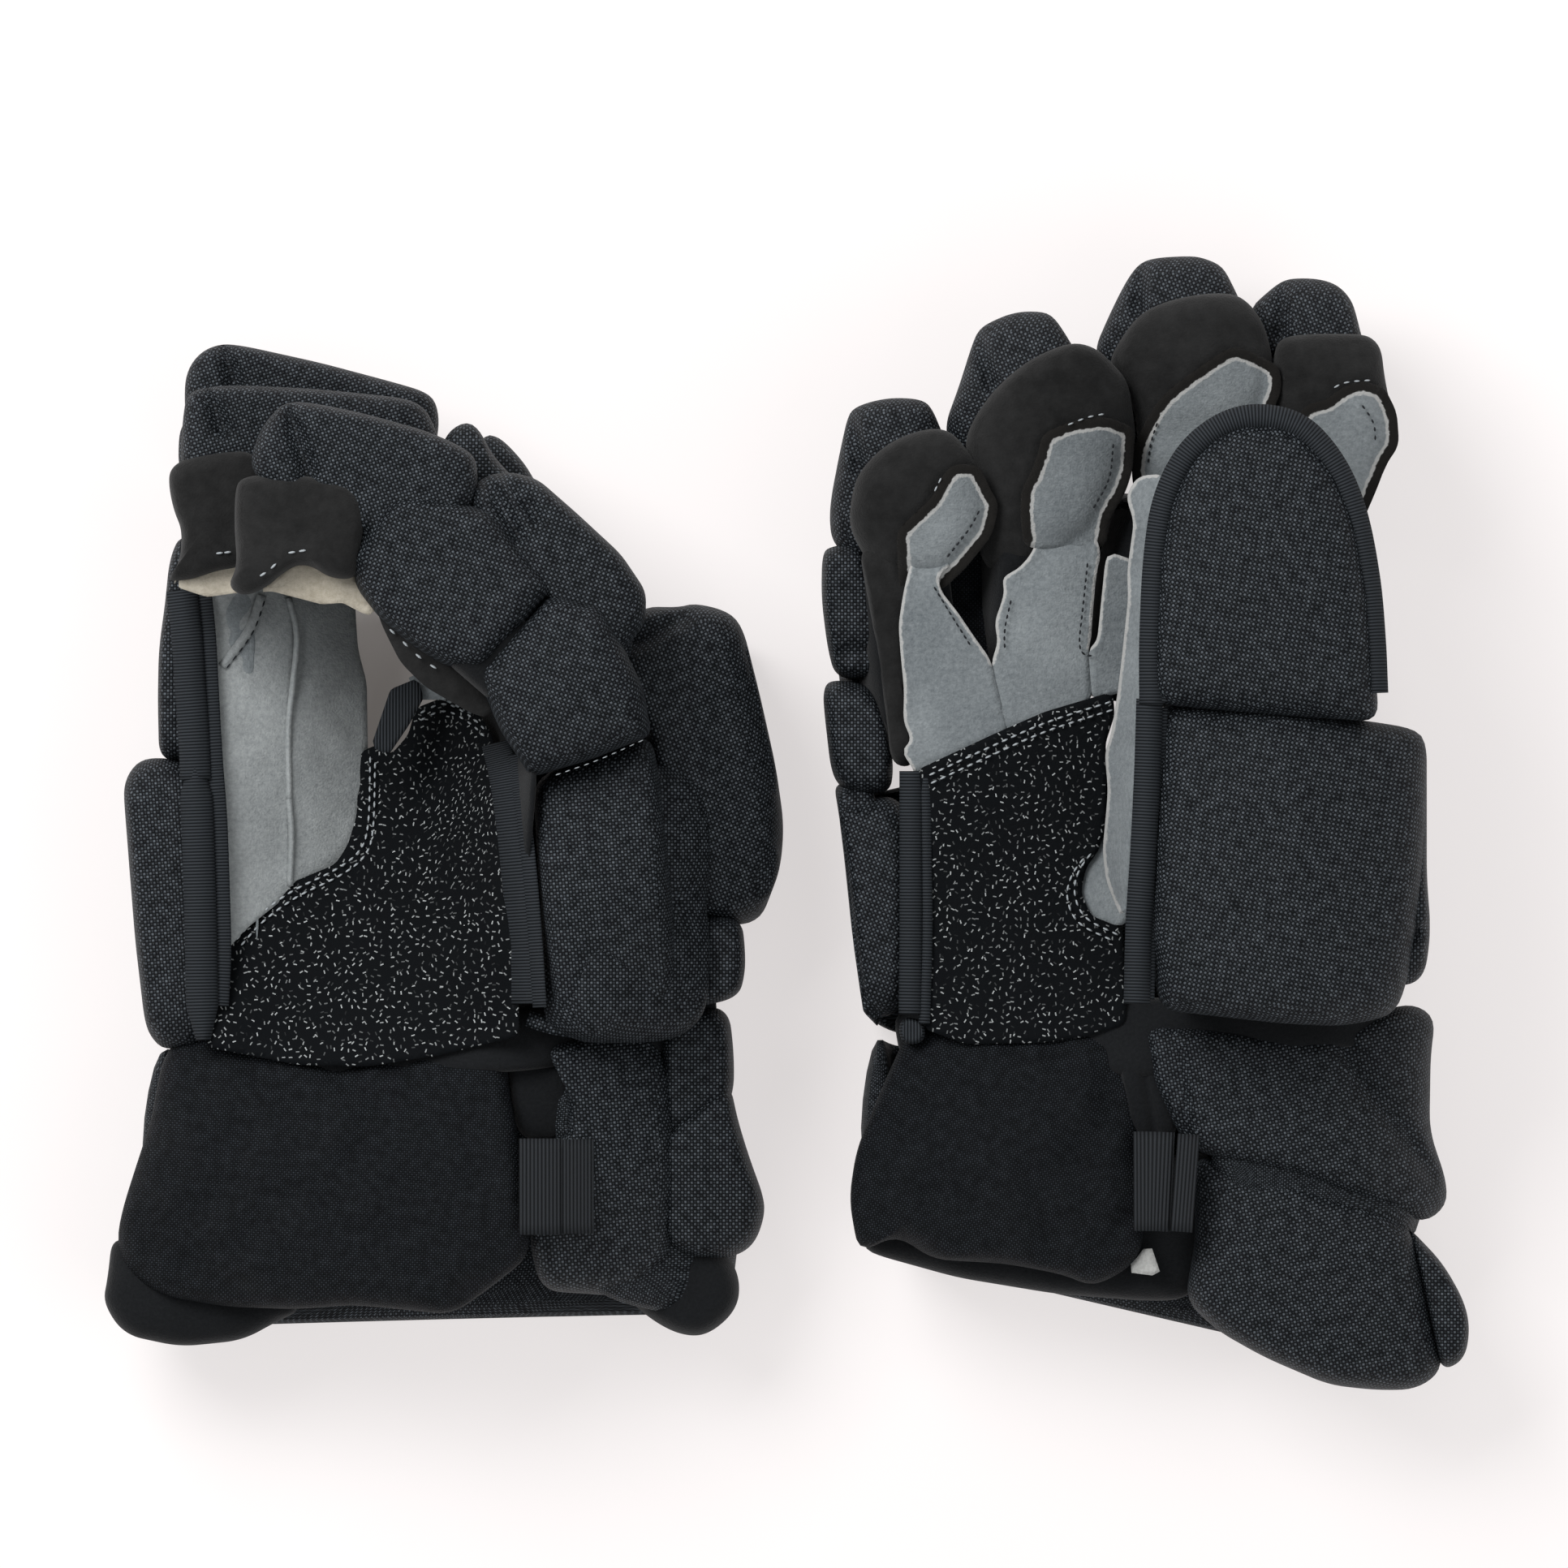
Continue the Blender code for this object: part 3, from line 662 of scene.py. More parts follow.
def panel_mesh(outline, top, joins, corner, ridge, wrinkle, thick, seed):
    """A thin panel cut along an outline and laid on the heights of top."""
    loop = rounded_loop(outline, PANEL_STEPS, corner)
    low, high = np.min(np.array(loop), axis=0), np.max(np.array(loop), axis=0)
    counts = [ceil(size / PANEL_MESH) for size in high - low]
    bm = bmesh.new()
    bmesh.ops.create_grid(bm, x_segments=counts[0], y_segments=counts[1], size=1.0)
    bmesh.ops.scale(bm, verts=bm.verts, vec=(*((high - low) / 2.0), 1.0))
    bmesh.ops.translate(bm, verts=bm.verts, vec=(*((high + low) / 2.0), 0.0))
    inside = is_inside(np.array([vert.co.xy for vert in bm.verts]), loop)
    outer = [vert for vert, within in zip(bm.verts, inside) if not within]
    bmesh.ops.delete(bm, geom=outer, context="VERTS")
    bmesh.ops.delete(bm, geom=[vert for vert in bm.verts if not vert.link_faces], context="VERTS")
    rim = [vert for vert in bm.verts if vert.is_boundary]
    for vert, near in zip(rim, outline_gap(np.array([vert.co.xy for vert in rim]), loop)[1]):
        vert.co.xy = near
    inner = [vert for vert in bm.verts if not vert.is_boundary]
    for turn in range(SMOOTH_TURNS):
        bmesh.ops.smooth_vert(bm, verts=inner, factor=0.5, use_axis_x=True, use_axis_y=True)
    places = np.array([vert.co.xy for vert in bm.verts])
    gaps = cut_gaps(places, loop, joins)
    bm.verts.ensure_lookup_table()
    for vert, place, gap, height in zip(bm.verts, places, gaps, laid_on(top)(places)):
        fray = ripple(place, FRAY_SCALE, seed)
        lift = ridge * exp(-(gap / RIDGE_WIDTH) ** 2) * (1.0 + RIDGE_FRAY * fray)
        vert.co.z = height + wrinkle * ripple(place, WAVE_SCALE, seed) + lift
    area = sum(face.calc_area() for face in bm.faces)
    bmesh.ops.solidify(bm, geom=bm.faces, thickness=thick)
    if bm.calc_volume(signed=True) < 0.0:
        bmesh.ops.reverse_faces(bm, faces=bm.faces)
    bm.verts.index_update()
    gaps = cut_gaps(np.array([vert.co.xy for vert in bm.verts]), loop, joins)
    layer = bm.loops.layers.uv.new("cut")
    for face in bm.faces:
        for place in face.loops:
            place[layer].uv = (gaps[place.vert.index], 0.0)
    return bm, area


NARROW = 0.01    # a panel below this width is printed as a narrow strip
BOWED = 0.32    # a panel that fills less of its rectangle counts as a bowed strip
STRIP_EASE = 1.02
MOST_FILLED = 0.98    # share of its flat size that a panel may fill
TRIED_TURNS = 46    # every second degree of a quarter turn


def flat_size(outline, area):
    """Width and length of the smallest rectangle round a panel, or of the strip that it is bowed from."""
    loop = np.array([plan(*point) for point in outline])
    turned = [loop @ np.array([[cos(a), -sin(a)], [sin(a), cos(a)]])
              for a in np.linspace(0.0, pi / 2, TRIED_TURNS)]
    size = min((np.ptp(points, axis=0) for points in turned), key=np.prod)
    if area < BOWED * np.prod(size):
        half_round = np.linalg.norm(loop - np.roll(loop, 1, axis=0), axis=1).sum() / 2
        size = np.array([STRIP_EASE * area / half_round, half_round])
    size = size * max(1.0, (area / (MOST_FILLED * np.prod(size))) ** 0.5)
    return tuple(float(side) for side in size)


def panel(name, body, finish, outline, top, nodes=(), grain=0.0, joins=(), corner=0.003, ridge=0.0,
          wrinkle=0.0004, thick=0.0012, blend=None):
    """Make a thin sewn panel and let it ride on a body, or leave it unattached in place when blend is given.
    """
    bm, area = panel_mesh(outline, top, joins, corner, ridge, wrinkle, thick, len(name))
    map_cloth(bm, grain)
    made = link(name, bm, [finish])
    if blend:
        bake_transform(made)
    else:
        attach(made, body)
    flat = flat_size(outline, area)
    if min(flat) >= NARROW:
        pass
    else:
        print(name, "is a narrow strip, not a sheet")
    if nodes:
        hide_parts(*nodes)
    return made


# %% [markdown]
# ## Pieces that keep their solid's shape
# The rolls on the back of the hands and the inner finger lengths lie where the solids are. A copy of
# the solid is merged, its triangles are joined to larger faces, and a subdivision rounds it like
# stuffed cloth. Where it would stand out past the drawn outline of its glove, it is pulled back onto
# that outline.

# %% Soft copy of a solid
SILHOUETTES = {
    "right": [(1022, 641), (1024, 612), (1035, 555), (1045, 510), (1054, 500), (1077, 492), (1105, 488),
         (1139, 491), (1152, 506), (1160, 528), (1182, 475), (1198, 424), (1206, 405), (1220, 395),
         (1252, 382), (1287, 382), (1300, 390), (1320, 420), (1345, 432), (1370, 382), (1389, 344),
         (1405, 322), (1424, 315), (1475, 314), (1501, 322), (1520, 351), (1540, 376), (1561, 360),
         (1581, 344), (1597, 340), (1628, 341), (1651, 349), (1667, 367), (1680, 411), (1694, 418),
         (1703, 432), (1712, 490), (1727, 539), (1712, 567), (1695, 606), (1676, 650), (1687, 768),
         (1692, 888), (1740, 898), (1755, 914), (1756, 1080), (1761, 1147), (1754, 1203), (1730, 1240),
         (1752, 1240), (1773, 1258), (1767, 1300), (1766, 1396), (1788, 1459), (1788, 1490), (1759, 1511),
         (1782, 1559), (1809, 1607), (1816, 1642), (1809, 1680), (1784, 1692), (1752, 1716), (1704, 1717),
         (1641, 1710), (1560, 1675), (1500, 1641), (1461, 1605), (1416, 1606), (1302, 1597), (1181, 1577),
         (1080, 1549), (1058, 1546), (1046, 1479), (1055, 1418), (1087, 1341), (1105, 1290), (1064, 1248),
         (1050, 1150), (1041, 1054), (1032, 990), (1024, 952), (1016, 870), (1022, 834), (1019, 799),
         (1011, 736), (1013, 678)],
    "left": [(204, 718), (209, 600), (210, 579), (215, 524), (224, 512), (224, 492), (226, 457), (243, 432),
         (269, 421), (298, 424), (393, 445), (483, 469), (524, 481), (537, 496), (540, 528), (549, 538),
         (562, 525), (578, 520), (592, 531), (612, 536), (628, 550), (658, 592), (706, 629), (764, 683),
         (794, 733), (790, 746), (836, 748), (855, 742), (897, 752), (915, 772), (936, 855), (956, 945),
         (966, 1016), (962, 1070), (936, 1138), (916, 1142), (918, 1200), (900, 1224), (870, 1240),
         (898, 1248), (904, 1330), (896, 1424), (926, 1450), (943, 1490), (938, 1532), (912, 1548),
         (908, 1566), (908, 1618), (872, 1650), (820, 1644), (771, 1600), (668, 1592), (594, 1594),
         (557, 1620), (433, 1608), (366, 1616), (337, 1632), (296, 1655), (218, 1663), (148, 1648),
         (122, 1608), (128, 1580), (132, 1528), (170, 1422), (184, 1360), (200, 1297), (184, 1282),
         (175, 1263), (163, 1160), (155, 1060), (149, 985), (149, 968), (156, 950), (170, 936),
         (193, 933), (191, 860), (192, 799), (200, 738)],
}


def press_inside(bm, loop):
    """Pull whatever sticks out of an outline back onto it, as the outer pieces hold it in."""
    verts = list(bm.verts)
    places = np.array([vert.co.xy for vert in verts])
    nearest = outline_gap(places, loop)[1]
    for vert, within, near in zip(verts, is_inside(places, loop), nearest):
        if not within:
            vert.co.xy = near


def soft_copy(node, body, finish, levels=2, grain=0.0):
    """A rounded cloth copy of a solid."""
    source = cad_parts[node]
    bm = bmesh.new()
    bm.from_mesh(source.data)
    bm.transform(source.matrix_world)
    bmesh.ops.remove_doubles(bm, verts=bm.verts, dist=0.00001)
    bmesh.ops.join_triangles(bm, faces=bm.faces, angle_face_threshold=0.6, angle_shape_threshold=0.8)
    press_inside(bm, [plan(*point) for point in SILHOUETTES[node.split("_")[0]]])
    map_cloth(bm, grain)
    made = link(node + "_cover", bm, [finish])
    rounding = made.modifiers.new("rounding", "SUBSURF")
    rounding.levels = levels
    rounding.render_levels = levels
    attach(made, body)
    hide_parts(node)
    return made


# %% [markdown]
# ## Tape and stitches
# Ribbed tape binds the raw edges. It is a grid laid along a drawn path, raised in its middle and
# given a thickness. Stitches are small stretched balls set along a path.

# %% Tape
CURVE_STEPS = 12
TAPE_STEP = 0.002
FEWEST_STEPS = 8
TAPE_ROWS = 8
TAPE_THICK = 0.0012
TAPE_END = 0.12    # share of the length over which an end narrows


def path_points(points, count):
    """Places along a drawn path with heights, as evenly spaced points."""
    raw = [Vector((*plan(across, down), height)) for across, down, height in points]
    raw = [raw[0] * 2.0 - raw[1]] + raw + [raw[-1] * 2.0 - raw[-2]]
    fine = []
    for a, b, c, d in zip(raw, raw[1:], raw[2:], raw[3:]):
        for step in range(CURVE_STEPS):
            t = step / CURVE_STEPS
            fine.append(0.5 * (2.0 * b + (c - a) * t + (2.0 * a - 5.0 * b + 4.0 * c - d) * t * t
                               + (3.0 * b - a - 3.0 * c + d) * t * t * t))
    fine.append(raw[-2])
    places = evenly(fine, count - 1)
    return places + [fine[-1]]


def tape_piece(name, body, finish, points, width, lift=0.0015, tilt=0.0, nodes=(), ends=1.0):
    """A strip of tape along a path, bowed up in its middle; ends below 1 narrow its two ends."""
    run = max(FEWEST_STEPS, int(drawn_length(points) / TAPE_STEP))
    places = path_points(points, run + 1)
    bm = bmesh.new()
    bmesh.ops.create_grid(bm, x_segments=run, y_segments=TAPE_ROWS, size=1.0)
    layer = bm.loops.layers.uv.new("cloth")
    walked = [0.0]
    for before, after in zip(places, places[1:]):
        walked.append(walked[-1] + (after - before).length)
    for face in bm.faces:
        for corner in face.loops:
            index = round((corner.vert.co.x + 1.0) / 2.0 * run)
            corner[layer].uv = (walked[index], corner.vert.co.y * width / 2.0)
    for vert in bm.verts:
        index = round((vert.co.x + 1.0) / 2.0 * run)
        from_end = min(index, run - index) / run
        half = width / 2.0 * (ends + (1.0 - ends) * min(1.0, from_end / TAPE_END))
        share = vert.co.y
        ahead = places[min(index + 1, run)] - places[max(index - 1, 0)]
        side = Vector((-ahead.y, ahead.x, 0.0)).normalized()
        rise = lift * (1.0 - share * share) + tilt * share * half
        vert.co = places[index] + side * (share * half) + Vector((0.0, 0.0, rise))
    bmesh.ops.solidify(bm, geom=bm.faces, thickness=TAPE_THICK)
    if bm.calc_volume(signed=True) < 0.0:
        bmesh.ops.reverse_faces(bm, faces=bm.faces)
    made = link(name, bm, [finish])
    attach(made, body)
    if nodes:
        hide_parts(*nodes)
    return made


# %% Stitches
def stitch_line(name, body, points, finish=thread, spacing=0.0030, long=0.0024, thick=0.00036):
    """Thread dashes along a drawn path."""
    count = max(2, int(drawn_length(points) / spacing))
    places = path_points(points, count + 1)
    bm = bmesh.new()
    for before, after in zip(places, places[1:]):
        turn = (after - before).to_track_quat("X", "Z").to_matrix().to_4x4()
        size = Matrix.Diagonal((long / 2.0, thick, thick, 1.0))
        bmesh.ops.create_icosphere(bm, subdivisions=1, radius=1.0,
                                   matrix=Matrix.Translation((before + after) / 2.0) @ turn @ size)
    made = link(name, bm, [finish])
    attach(made, body)
    return made


def double_row(name, body, points, gap):
    """Two rows of stitches side by side; gap gives the second row's shift in drawing units."""
    stitch_line(name + "_first", body, points)
    shifted = [(across + gap[0], down + gap[1], height) for across, down, height in points]
    stitch_line(name + "_second", body, shifted)


print("helpers ready")

# %% [markdown]
# ## Back rolls and inner finger lengths
# The backs of both hands lie on the floor. Their rolls, and the finger lengths that lie under others,
# keep the solids' shapes as soft copies. The inner lengths are painted near black with the lining, as
# painted shade, because only shaded gaps show them.

# %% Soft copies
FINGERS = ("little", "ring", "middle", "index")
for side in ("right", "left"):
    for roll in ("knuckle_roll", "backhand_roll", "little_side_roll"):
        soft_copy(f"{side}_{roll}", "hands", nylon)
    soft_copy(f"{side}_palm_panel", "hands", lining_and_shade, levels=1)
    soft_copy(f"{side}_thumb_gusset", "hands", palm_suede, levels=1)
    for roll in ("cuff_upper_roll", "cuff_lower_roll"):
        soft_copy(f"{side}_{roll}", f"{side}_cuff", nylon)
    for finger in FINGERS:
        # Painted shade: the inner finger lengths take the near-black lining, as only shaded gaps show them.
        soft_copy(f"{side}_{finger}_base_sleeve", f"{side}_{finger}_base", lining_and_shade, levels=1)
for finger in FINGERS:
    soft_copy(f"right_{finger}_base_pad", f"right_{finger}_base", nylon)
for side in ("right", "left"):
    soft_copy(f"{side}_thumb_tip_stall", f"{side}_thumb_tip", palm_suede)
print("soft copies made")

# %% [markdown]
# ## Right fingers
# The open glove shows each fingertip from its palm side: the black pad of the finger's back stands
# out at the tip, and a charcoal suede cap wraps over it. The pad has a seam near its left edge, where
# its side is sewn to its front.

# %% Right fingertips
RIGHT_TIPS = {
    "little": (
        [(1022, 641), (1024, 612), (1035, 555), (1045, 510), (1054, 500), (1077, 492), (1105, 488),
         (1139, 491), (1150, 504), (1159, 526), (1178, 570), (1180, 640), (1120, 700), (1050, 690),
         (1026, 668)],
        [(1100, 500, 0.0640), (1100, 580, 0.0700), (1035, 610, 0.0600), (1165, 560, 0.0660)],
        ((1048, 512), (1059, 580))),
    "ring": (
        [(1164, 524), (1182, 475), (1198, 424), (1206, 405), (1220, 395), (1252, 382), (1287, 382),
         (1300, 390), (1312, 408), (1322, 425), (1368, 500), (1370, 620), (1290, 700), (1212, 660),
         (1180, 590)],
        [(1260, 395, 0.0650), (1260, 480, 0.0740), (1180, 520, 0.0640), (1300, 600, 0.0660)],
        ((1205, 410), (1221, 475))),
    "middle": (
        [(1349, 430), (1370, 382), (1389, 344), (1405, 322), (1424, 315), (1462, 313), (1480, 314),
         (1501, 322), (1511, 331), (1521, 351), (1532, 375), (1558, 430), (1555, 520), (1480, 610),
         (1412, 600), (1372, 500)],
        [(1450, 325, 0.0600), (1450, 400, 0.0670), (1370, 420, 0.0600), (1470, 540, 0.0600)],
        ((1406, 326), (1404, 382))),
    "index": (
        [(1542, 378), (1561, 360), (1581, 344), (1597, 340), (1628, 341), (1651, 349), (1667, 367),
         (1673, 386), (1679, 412), (1700, 480), (1690, 580), (1640, 640), (1590, 600), (1562, 480),
         (1545, 420)],
        [(1620, 350, 0.0600), (1620, 420, 0.0670), (1560, 400, 0.0600), (1640, 560, 0.0600)],
        ((1582, 350), (1579, 412))),
}
for finger, (outline, top, seam) in RIGHT_TIPS.items():
    pad(f"right_{finger}_tip_cushion", f"right_{finger}_tip", nylon, "black_nylon", outline, top=top,
        depth=0.046, crown=0.012, nodes=[f"right_{finger}_tip_pad"], grain=20.0, fullness=0.3,
        channels=[(seam, 0.0045, 0.0024)], corner=0.005)
print("right tip pads made")

# %% Right suede caps
RIGHT_CAPS = {
    "little": (
        [(1046, 634), (1053, 593), (1067, 571), (1092, 548), (1121, 534), (1153, 527), (1175, 534),
         (1194, 558), (1210, 578), (1226, 628), (1217, 657), (1198, 682), (1165, 718), (1120, 712),
         (1075, 700), (1050, 660)],
        [(1110, 540, 0.0850), (1110, 625, 0.0800), (1130, 700, 0.0730), (1200, 620, 0.0780),
         (1060, 640, 0.0750)]),
    "ring": (
        [(1188, 545), (1198, 520), (1210, 500), (1233, 472), (1265, 446), (1297, 430), (1325, 422),
         (1351, 430), (1370, 448), (1390, 470), (1396, 510), (1400, 540), (1392, 571), (1376, 609),
         (1352, 660), (1300, 700), (1230, 712), (1204, 682), (1212, 640), (1195, 580)],
        [(1300, 445, 0.0890), (1290, 540, 0.0850), (1280, 640, 0.0750), (1380, 550, 0.0800),
         (1210, 620, 0.0740), (1250, 705, 0.0690)]),
    "middle": (
        [(1365, 447), (1383, 414), (1405, 386), (1437, 371), (1479, 362), (1520, 361), (1540, 374),
         (1556, 396), (1567, 430), (1570, 470), (1555, 515), (1510, 590), (1440, 630), (1405, 610),
         (1404, 560), (1398, 500), (1380, 470)],
        [(1460, 380, 0.0810), (1470, 470, 0.0790), (1470, 560, 0.0725), (1550, 450, 0.0770),
         (1390, 470, 0.0740)]),
    "index": (
        [(1568, 455), (1572, 424), (1585, 414), (1619, 411), (1679, 411), (1694, 418), (1703, 432),
         (1706, 460), (1712, 490), (1719, 512), (1727, 539), (1712, 567), (1695, 606), (1673, 647),
         (1640, 650), (1600, 600), (1572, 540), (1565, 500)],
        [(1620, 420, 0.0790), (1640, 490, 0.0775), (1640, 570, 0.0720), (1710, 490, 0.0740),
         (1578, 500, 0.0750)]),
}
CAP_CROWN, CAP_FULLNESS = 0.011, 0.36
for finger, (outline, top) in RIGHT_CAPS.items():
    pad(f"right_{finger}_cap", f"right_{finger}_tip", dark_suede, "fingertip_suede", outline, top=top,
        depth=0.030, crown=CAP_CROWN, nodes=[f"right_{finger}_tip_stall"], fullness=CAP_FULLNESS,
        wrinkle=0.0014, gather=0.0010)
pad("right_little_side_suede", "right_little_base", dark_suede, "fingertip_suede",
    [(1058, 672), (1118, 668), (1128, 690), (1118, 730), (1112, 770), (1114, 810), (1118, 850),
     (1118, 890), (1130, 915), (1126, 946), (1098, 942), (1088, 860), (1078, 790), (1066, 720)],
    top=[(1090, 680, 0.0720), (1098, 760, 0.0690), (1104, 850, 0.0660), (1112, 930, 0.0635)], depth=0.024,
    crown=0.008, fullness=0.3, wrinkle=0.0015, gather=0.0012)
print("right suede caps made")

# %% [markdown]
# ## Right palm
# Grey suede covers the palm and runs up each finger as a narrow strip. Its raw cut is pale, and the
# charcoal suede folds out round it in a dark ridge. The little, ring and middle fingers each have a
# panel that runs from the palm to the finger at the knuckle.

# %% Right fingertip strips
RIGHT_STRIPS = {
    "little": (
        [(1176, 572), (1206, 574), (1220, 604), (1231, 622), (1222, 660), (1190, 700), (1160, 728),
         (1108, 728), (1104, 655), (1128, 632), (1148, 614), (1162, 584)],
        ((1104, 728), (1164, 728))),
    "ring": (
        [(1283, 536), (1316, 521), (1362, 514), (1398, 528), (1395, 580), (1386, 608), (1368, 637),
         (1362, 675), (1262, 675), (1257, 641), (1258, 603), (1269, 585), (1279, 556)],
        ((1258, 675), (1366, 675))),
    "middle": (
        [(1520, 427), (1548, 437), (1576, 452), (1579, 480), (1565, 515), (1530, 570), (1465, 635),
         (1404, 655), (1394, 580), (1397, 552), (1406, 529), (1424, 497), (1445, 476), (1473, 456),
         (1502, 436)],
        ((1404, 655), (1465, 635))),
    "index": (
        [(1676, 469), (1705, 477), (1721, 508), (1724, 549), (1708, 572), (1696, 604), (1678, 646),
         (1650, 640), (1630, 590), (1605, 555), (1586, 524), (1612, 497), (1634, 494), (1648, 480)],
        ((1650, 640), (1678, 646))),
}
STRIP_LIFT = 0.0018    # from a cap to the strip on it
cap_heights = {finger: pad_heights(*cap, CAP_CROWN, CAP_FULLNESS, STRIP_LIFT)
               for finger, cap in RIGHT_CAPS.items()}
for finger, (outline, join) in RIGHT_STRIPS.items():
    panel(f"right_{finger}_strip", f"right_{finger}_tip", strip_suede, outline,
        top=cap_heights[finger], joins=[join], ridge=0.0008, wrinkle=0.0006)
print("right strips made")

# %% Right palm panels
KNUCKLE_HEIGHT = 0.065


def knuckle_blend(finger, across, below, above):
    """Where a palm panel of the right hand leaves the palm and joins its finger."""
    return (f"right_{finger}_base", (*plan(across, below), KNUCKLE_HEIGHT),
            (*plan(across, above), KNUCKLE_HEIGHT))


panel("right_little_palm", "hands", cut_suede,
    [(1122, 692), (1150, 684), (1178, 692), (1156, 708), (1158, 727), (1178, 752), (1204, 790),
     (1216, 806), (1222, 818), (1232, 860), (1244, 906), (1128, 957), (1124, 945), (1110, 925),
     (1124, 912), (1113, 890), (1114, 850), (1110, 810), (1107, 770), (1113, 730)],
    top=[(1140, 690, 0.0725), (1150, 730, 0.0722), (1150, 800, 0.0698), (1150, 860, 0.0678),
     (1160, 930, 0.0656), (1220, 820, 0.0684), (1238, 895, 0.0657), (1110, 800, 0.0696),
     (1115, 920, 0.0657)],
    joins=[((1115, 690), (1182, 690)), ((1222, 826), (1244, 906)), ((1244, 906), (1128, 957))],
    ridge=0.0007,
    blend=knuckle_blend("little", across=1145, below=940, above=900))
panel("right_ring_palm", "hands", cut_suede,
    [(1271, 655), (1310, 650), (1349, 657), (1357, 682), (1351, 705), (1348, 736), (1344, 790),
     (1341, 800), (1346, 864), (1243, 906), (1231, 860), (1221, 818), (1230, 790), (1225, 768),
     (1238, 730), (1234, 711), (1255, 701), (1271, 682), (1276, 668)],
    top=[(1310, 655, 0.0712), (1310, 700, 0.0714), (1300, 760, 0.0698), (1290, 820, 0.0678),
     (1290, 880, 0.0657), (1235, 800, 0.0685), (1345, 760, 0.0690), (1238, 725, 0.0700),
     (1238, 895, 0.0657)],
    joins=[((1265, 655), (1352, 655)), ((1341, 806), (1346, 864)), ((1346, 864), (1243, 906)),
     ((1243, 906), (1222, 826))], ridge=0.0007,
    blend=knuckle_blend("ring", across=1285, below=915, above=875))
panel("right_middle_palm", "hands", cut_suede,
    [(1368, 680), (1396, 690), (1414, 700), (1410, 800), (1404, 846), (1346, 864), (1341, 800),
     (1352, 790), (1358, 730), (1362, 690)],
    top=[(1385, 690, 0.0690), (1380, 780, 0.0680), (1380, 850, 0.0662), (1345, 840, 0.0668),
     (1345, 800, 0.0680)],
    joins=[((1341, 806), (1346, 864)), ((1346, 864), (1404, 846)), ((1414, 700), (1404, 846))],
    ridge=0.0005,
    blend=knuckle_blend("middle", across=1385, below=900, above=860))
panel("right_finger_web", "right_ring_base", panel_cloth,
    [(1146, 656), (1240, 644), (1256, 700), (1244, 790), (1222, 828), (1196, 800), (1156, 740)],
    top=[(1150, 660, 0.0480), (1240, 660, 0.0500), (1190, 760, 0.0510), (1222, 820, 0.0560),
     (1250, 740, 0.0530)], thick=0.002, wrinkle=0.002)
print("right palm panels made")

# %% Right overlay
panel("right_overlay_cloth", "hands", flecked,
    [(1129, 949), (1223, 905), (1287, 877), (1371, 852), (1374, 880), (1362, 917), (1365, 943),
     (1362, 1019), (1354, 1048), (1338, 1070), (1332, 1099), (1344, 1128), (1384, 1144), (1388, 1262),
     (1340, 1277), (1287, 1285), (1191, 1287), (1138, 1268), (1144, 1150), (1143, 1050)],
    top=[(1140, 955, 0.0672), (1370, 866, 0.0672), (1250, 1050, 0.0648), (1140, 1260, 0.0646),
     (1380, 1240, 0.0648), (1340, 1080, 0.0650)], nodes=["right_palm_overlay"], corner=0.002)
panel("right_notch_suede", "hands", palm_suede,
    [(1340, 1058), (1352, 1040), (1390, 1000), (1392, 1140), (1350, 1140), (1326, 1110)], top=0.0635)
double_row("right_overlay_stitch", "hands",
    [(1143, 956, 0.0684), (1223, 919, 0.0682), (1290, 890, 0.0682), (1371, 864, 0.0684)], gap=(2, 10))
double_row("right_notch_stitch", "hands",
    [(1346, 1050, 0.0662), (1330, 1072, 0.0662), (1324, 1100, 0.0662), (1338, 1131, 0.0662),
     (1380, 1153, 0.0662)], gap=(-9, 6))
print("right overlay made")

# %% Right seams
FINE_STITCH = {"spacing": 0.0022, "long": 0.0017, "thick": 0.00035}
PALM_SEAMS = {
    "right_fork_stitch_outer": ("little", [(1150, 722, 0.0736), (1172, 758, 0.0728), (1196, 796, 0.0710)]),
    "right_fork_stitch_inner": ("ring", [(1246, 738, 0.0714), (1238, 775, 0.0705), (1238, 800, 0.0698)]),
    "right_slit_stitch": ("ring", [(1340, 692, 0.0724), (1334, 750, 0.0710), (1330, 790, 0.0698),
                                   (1334, 806, 0.0694), (1347, 808, 0.0692)]),
}
for name, (finger, points) in PALM_SEAMS.items():
    stitch_line(name, f"right_{finger}_base", points, dark_thread, **FINE_STITCH)
STRIP_SEAMS = {
    "ring": [(1371, 546), (1366, 590), (1346, 628)],
    "little": [(1207, 628), (1194, 652), (1166, 688)],
    "middle": [(1426, 520), (1418, 545), (1414, 572)],
    "index": [(1676, 498), (1692, 522), (1694, 545)],
}
for finger, points in STRIP_SEAMS.items():
    stitch_line(f"right_{finger}_strip_stitch", f"right_{finger}_tip",
        set_on(cap_heights[finger], points, above=0.0009), dark_thread, **FINE_STITCH)
EDGE_THREADS = {"ring": [(1312, 526), (1340, 515), (1362, 511)], "little": [(1150, 608), (1160, 588)],
                "index": [(1640, 480), (1656, 472), (1690, 469)]}
for finger, points in EDGE_THREADS.items():
    stitch_line(f"right_{finger}_edge_thread", f"right_{finger}_tip",
        set_on(cap_heights[finger], points, above=0.0012), thread, spacing=0.0030, long=0.0022, thick=0.0003)
print("right seams stitched")

# %% [markdown]
# ## Right thumb
# The thumb lies across the palm with its thick outer pad up. A fold splits it into a tip pad and a
# base pad, ribbed tape binds its edge, and a grey suede wall stands below the tape.

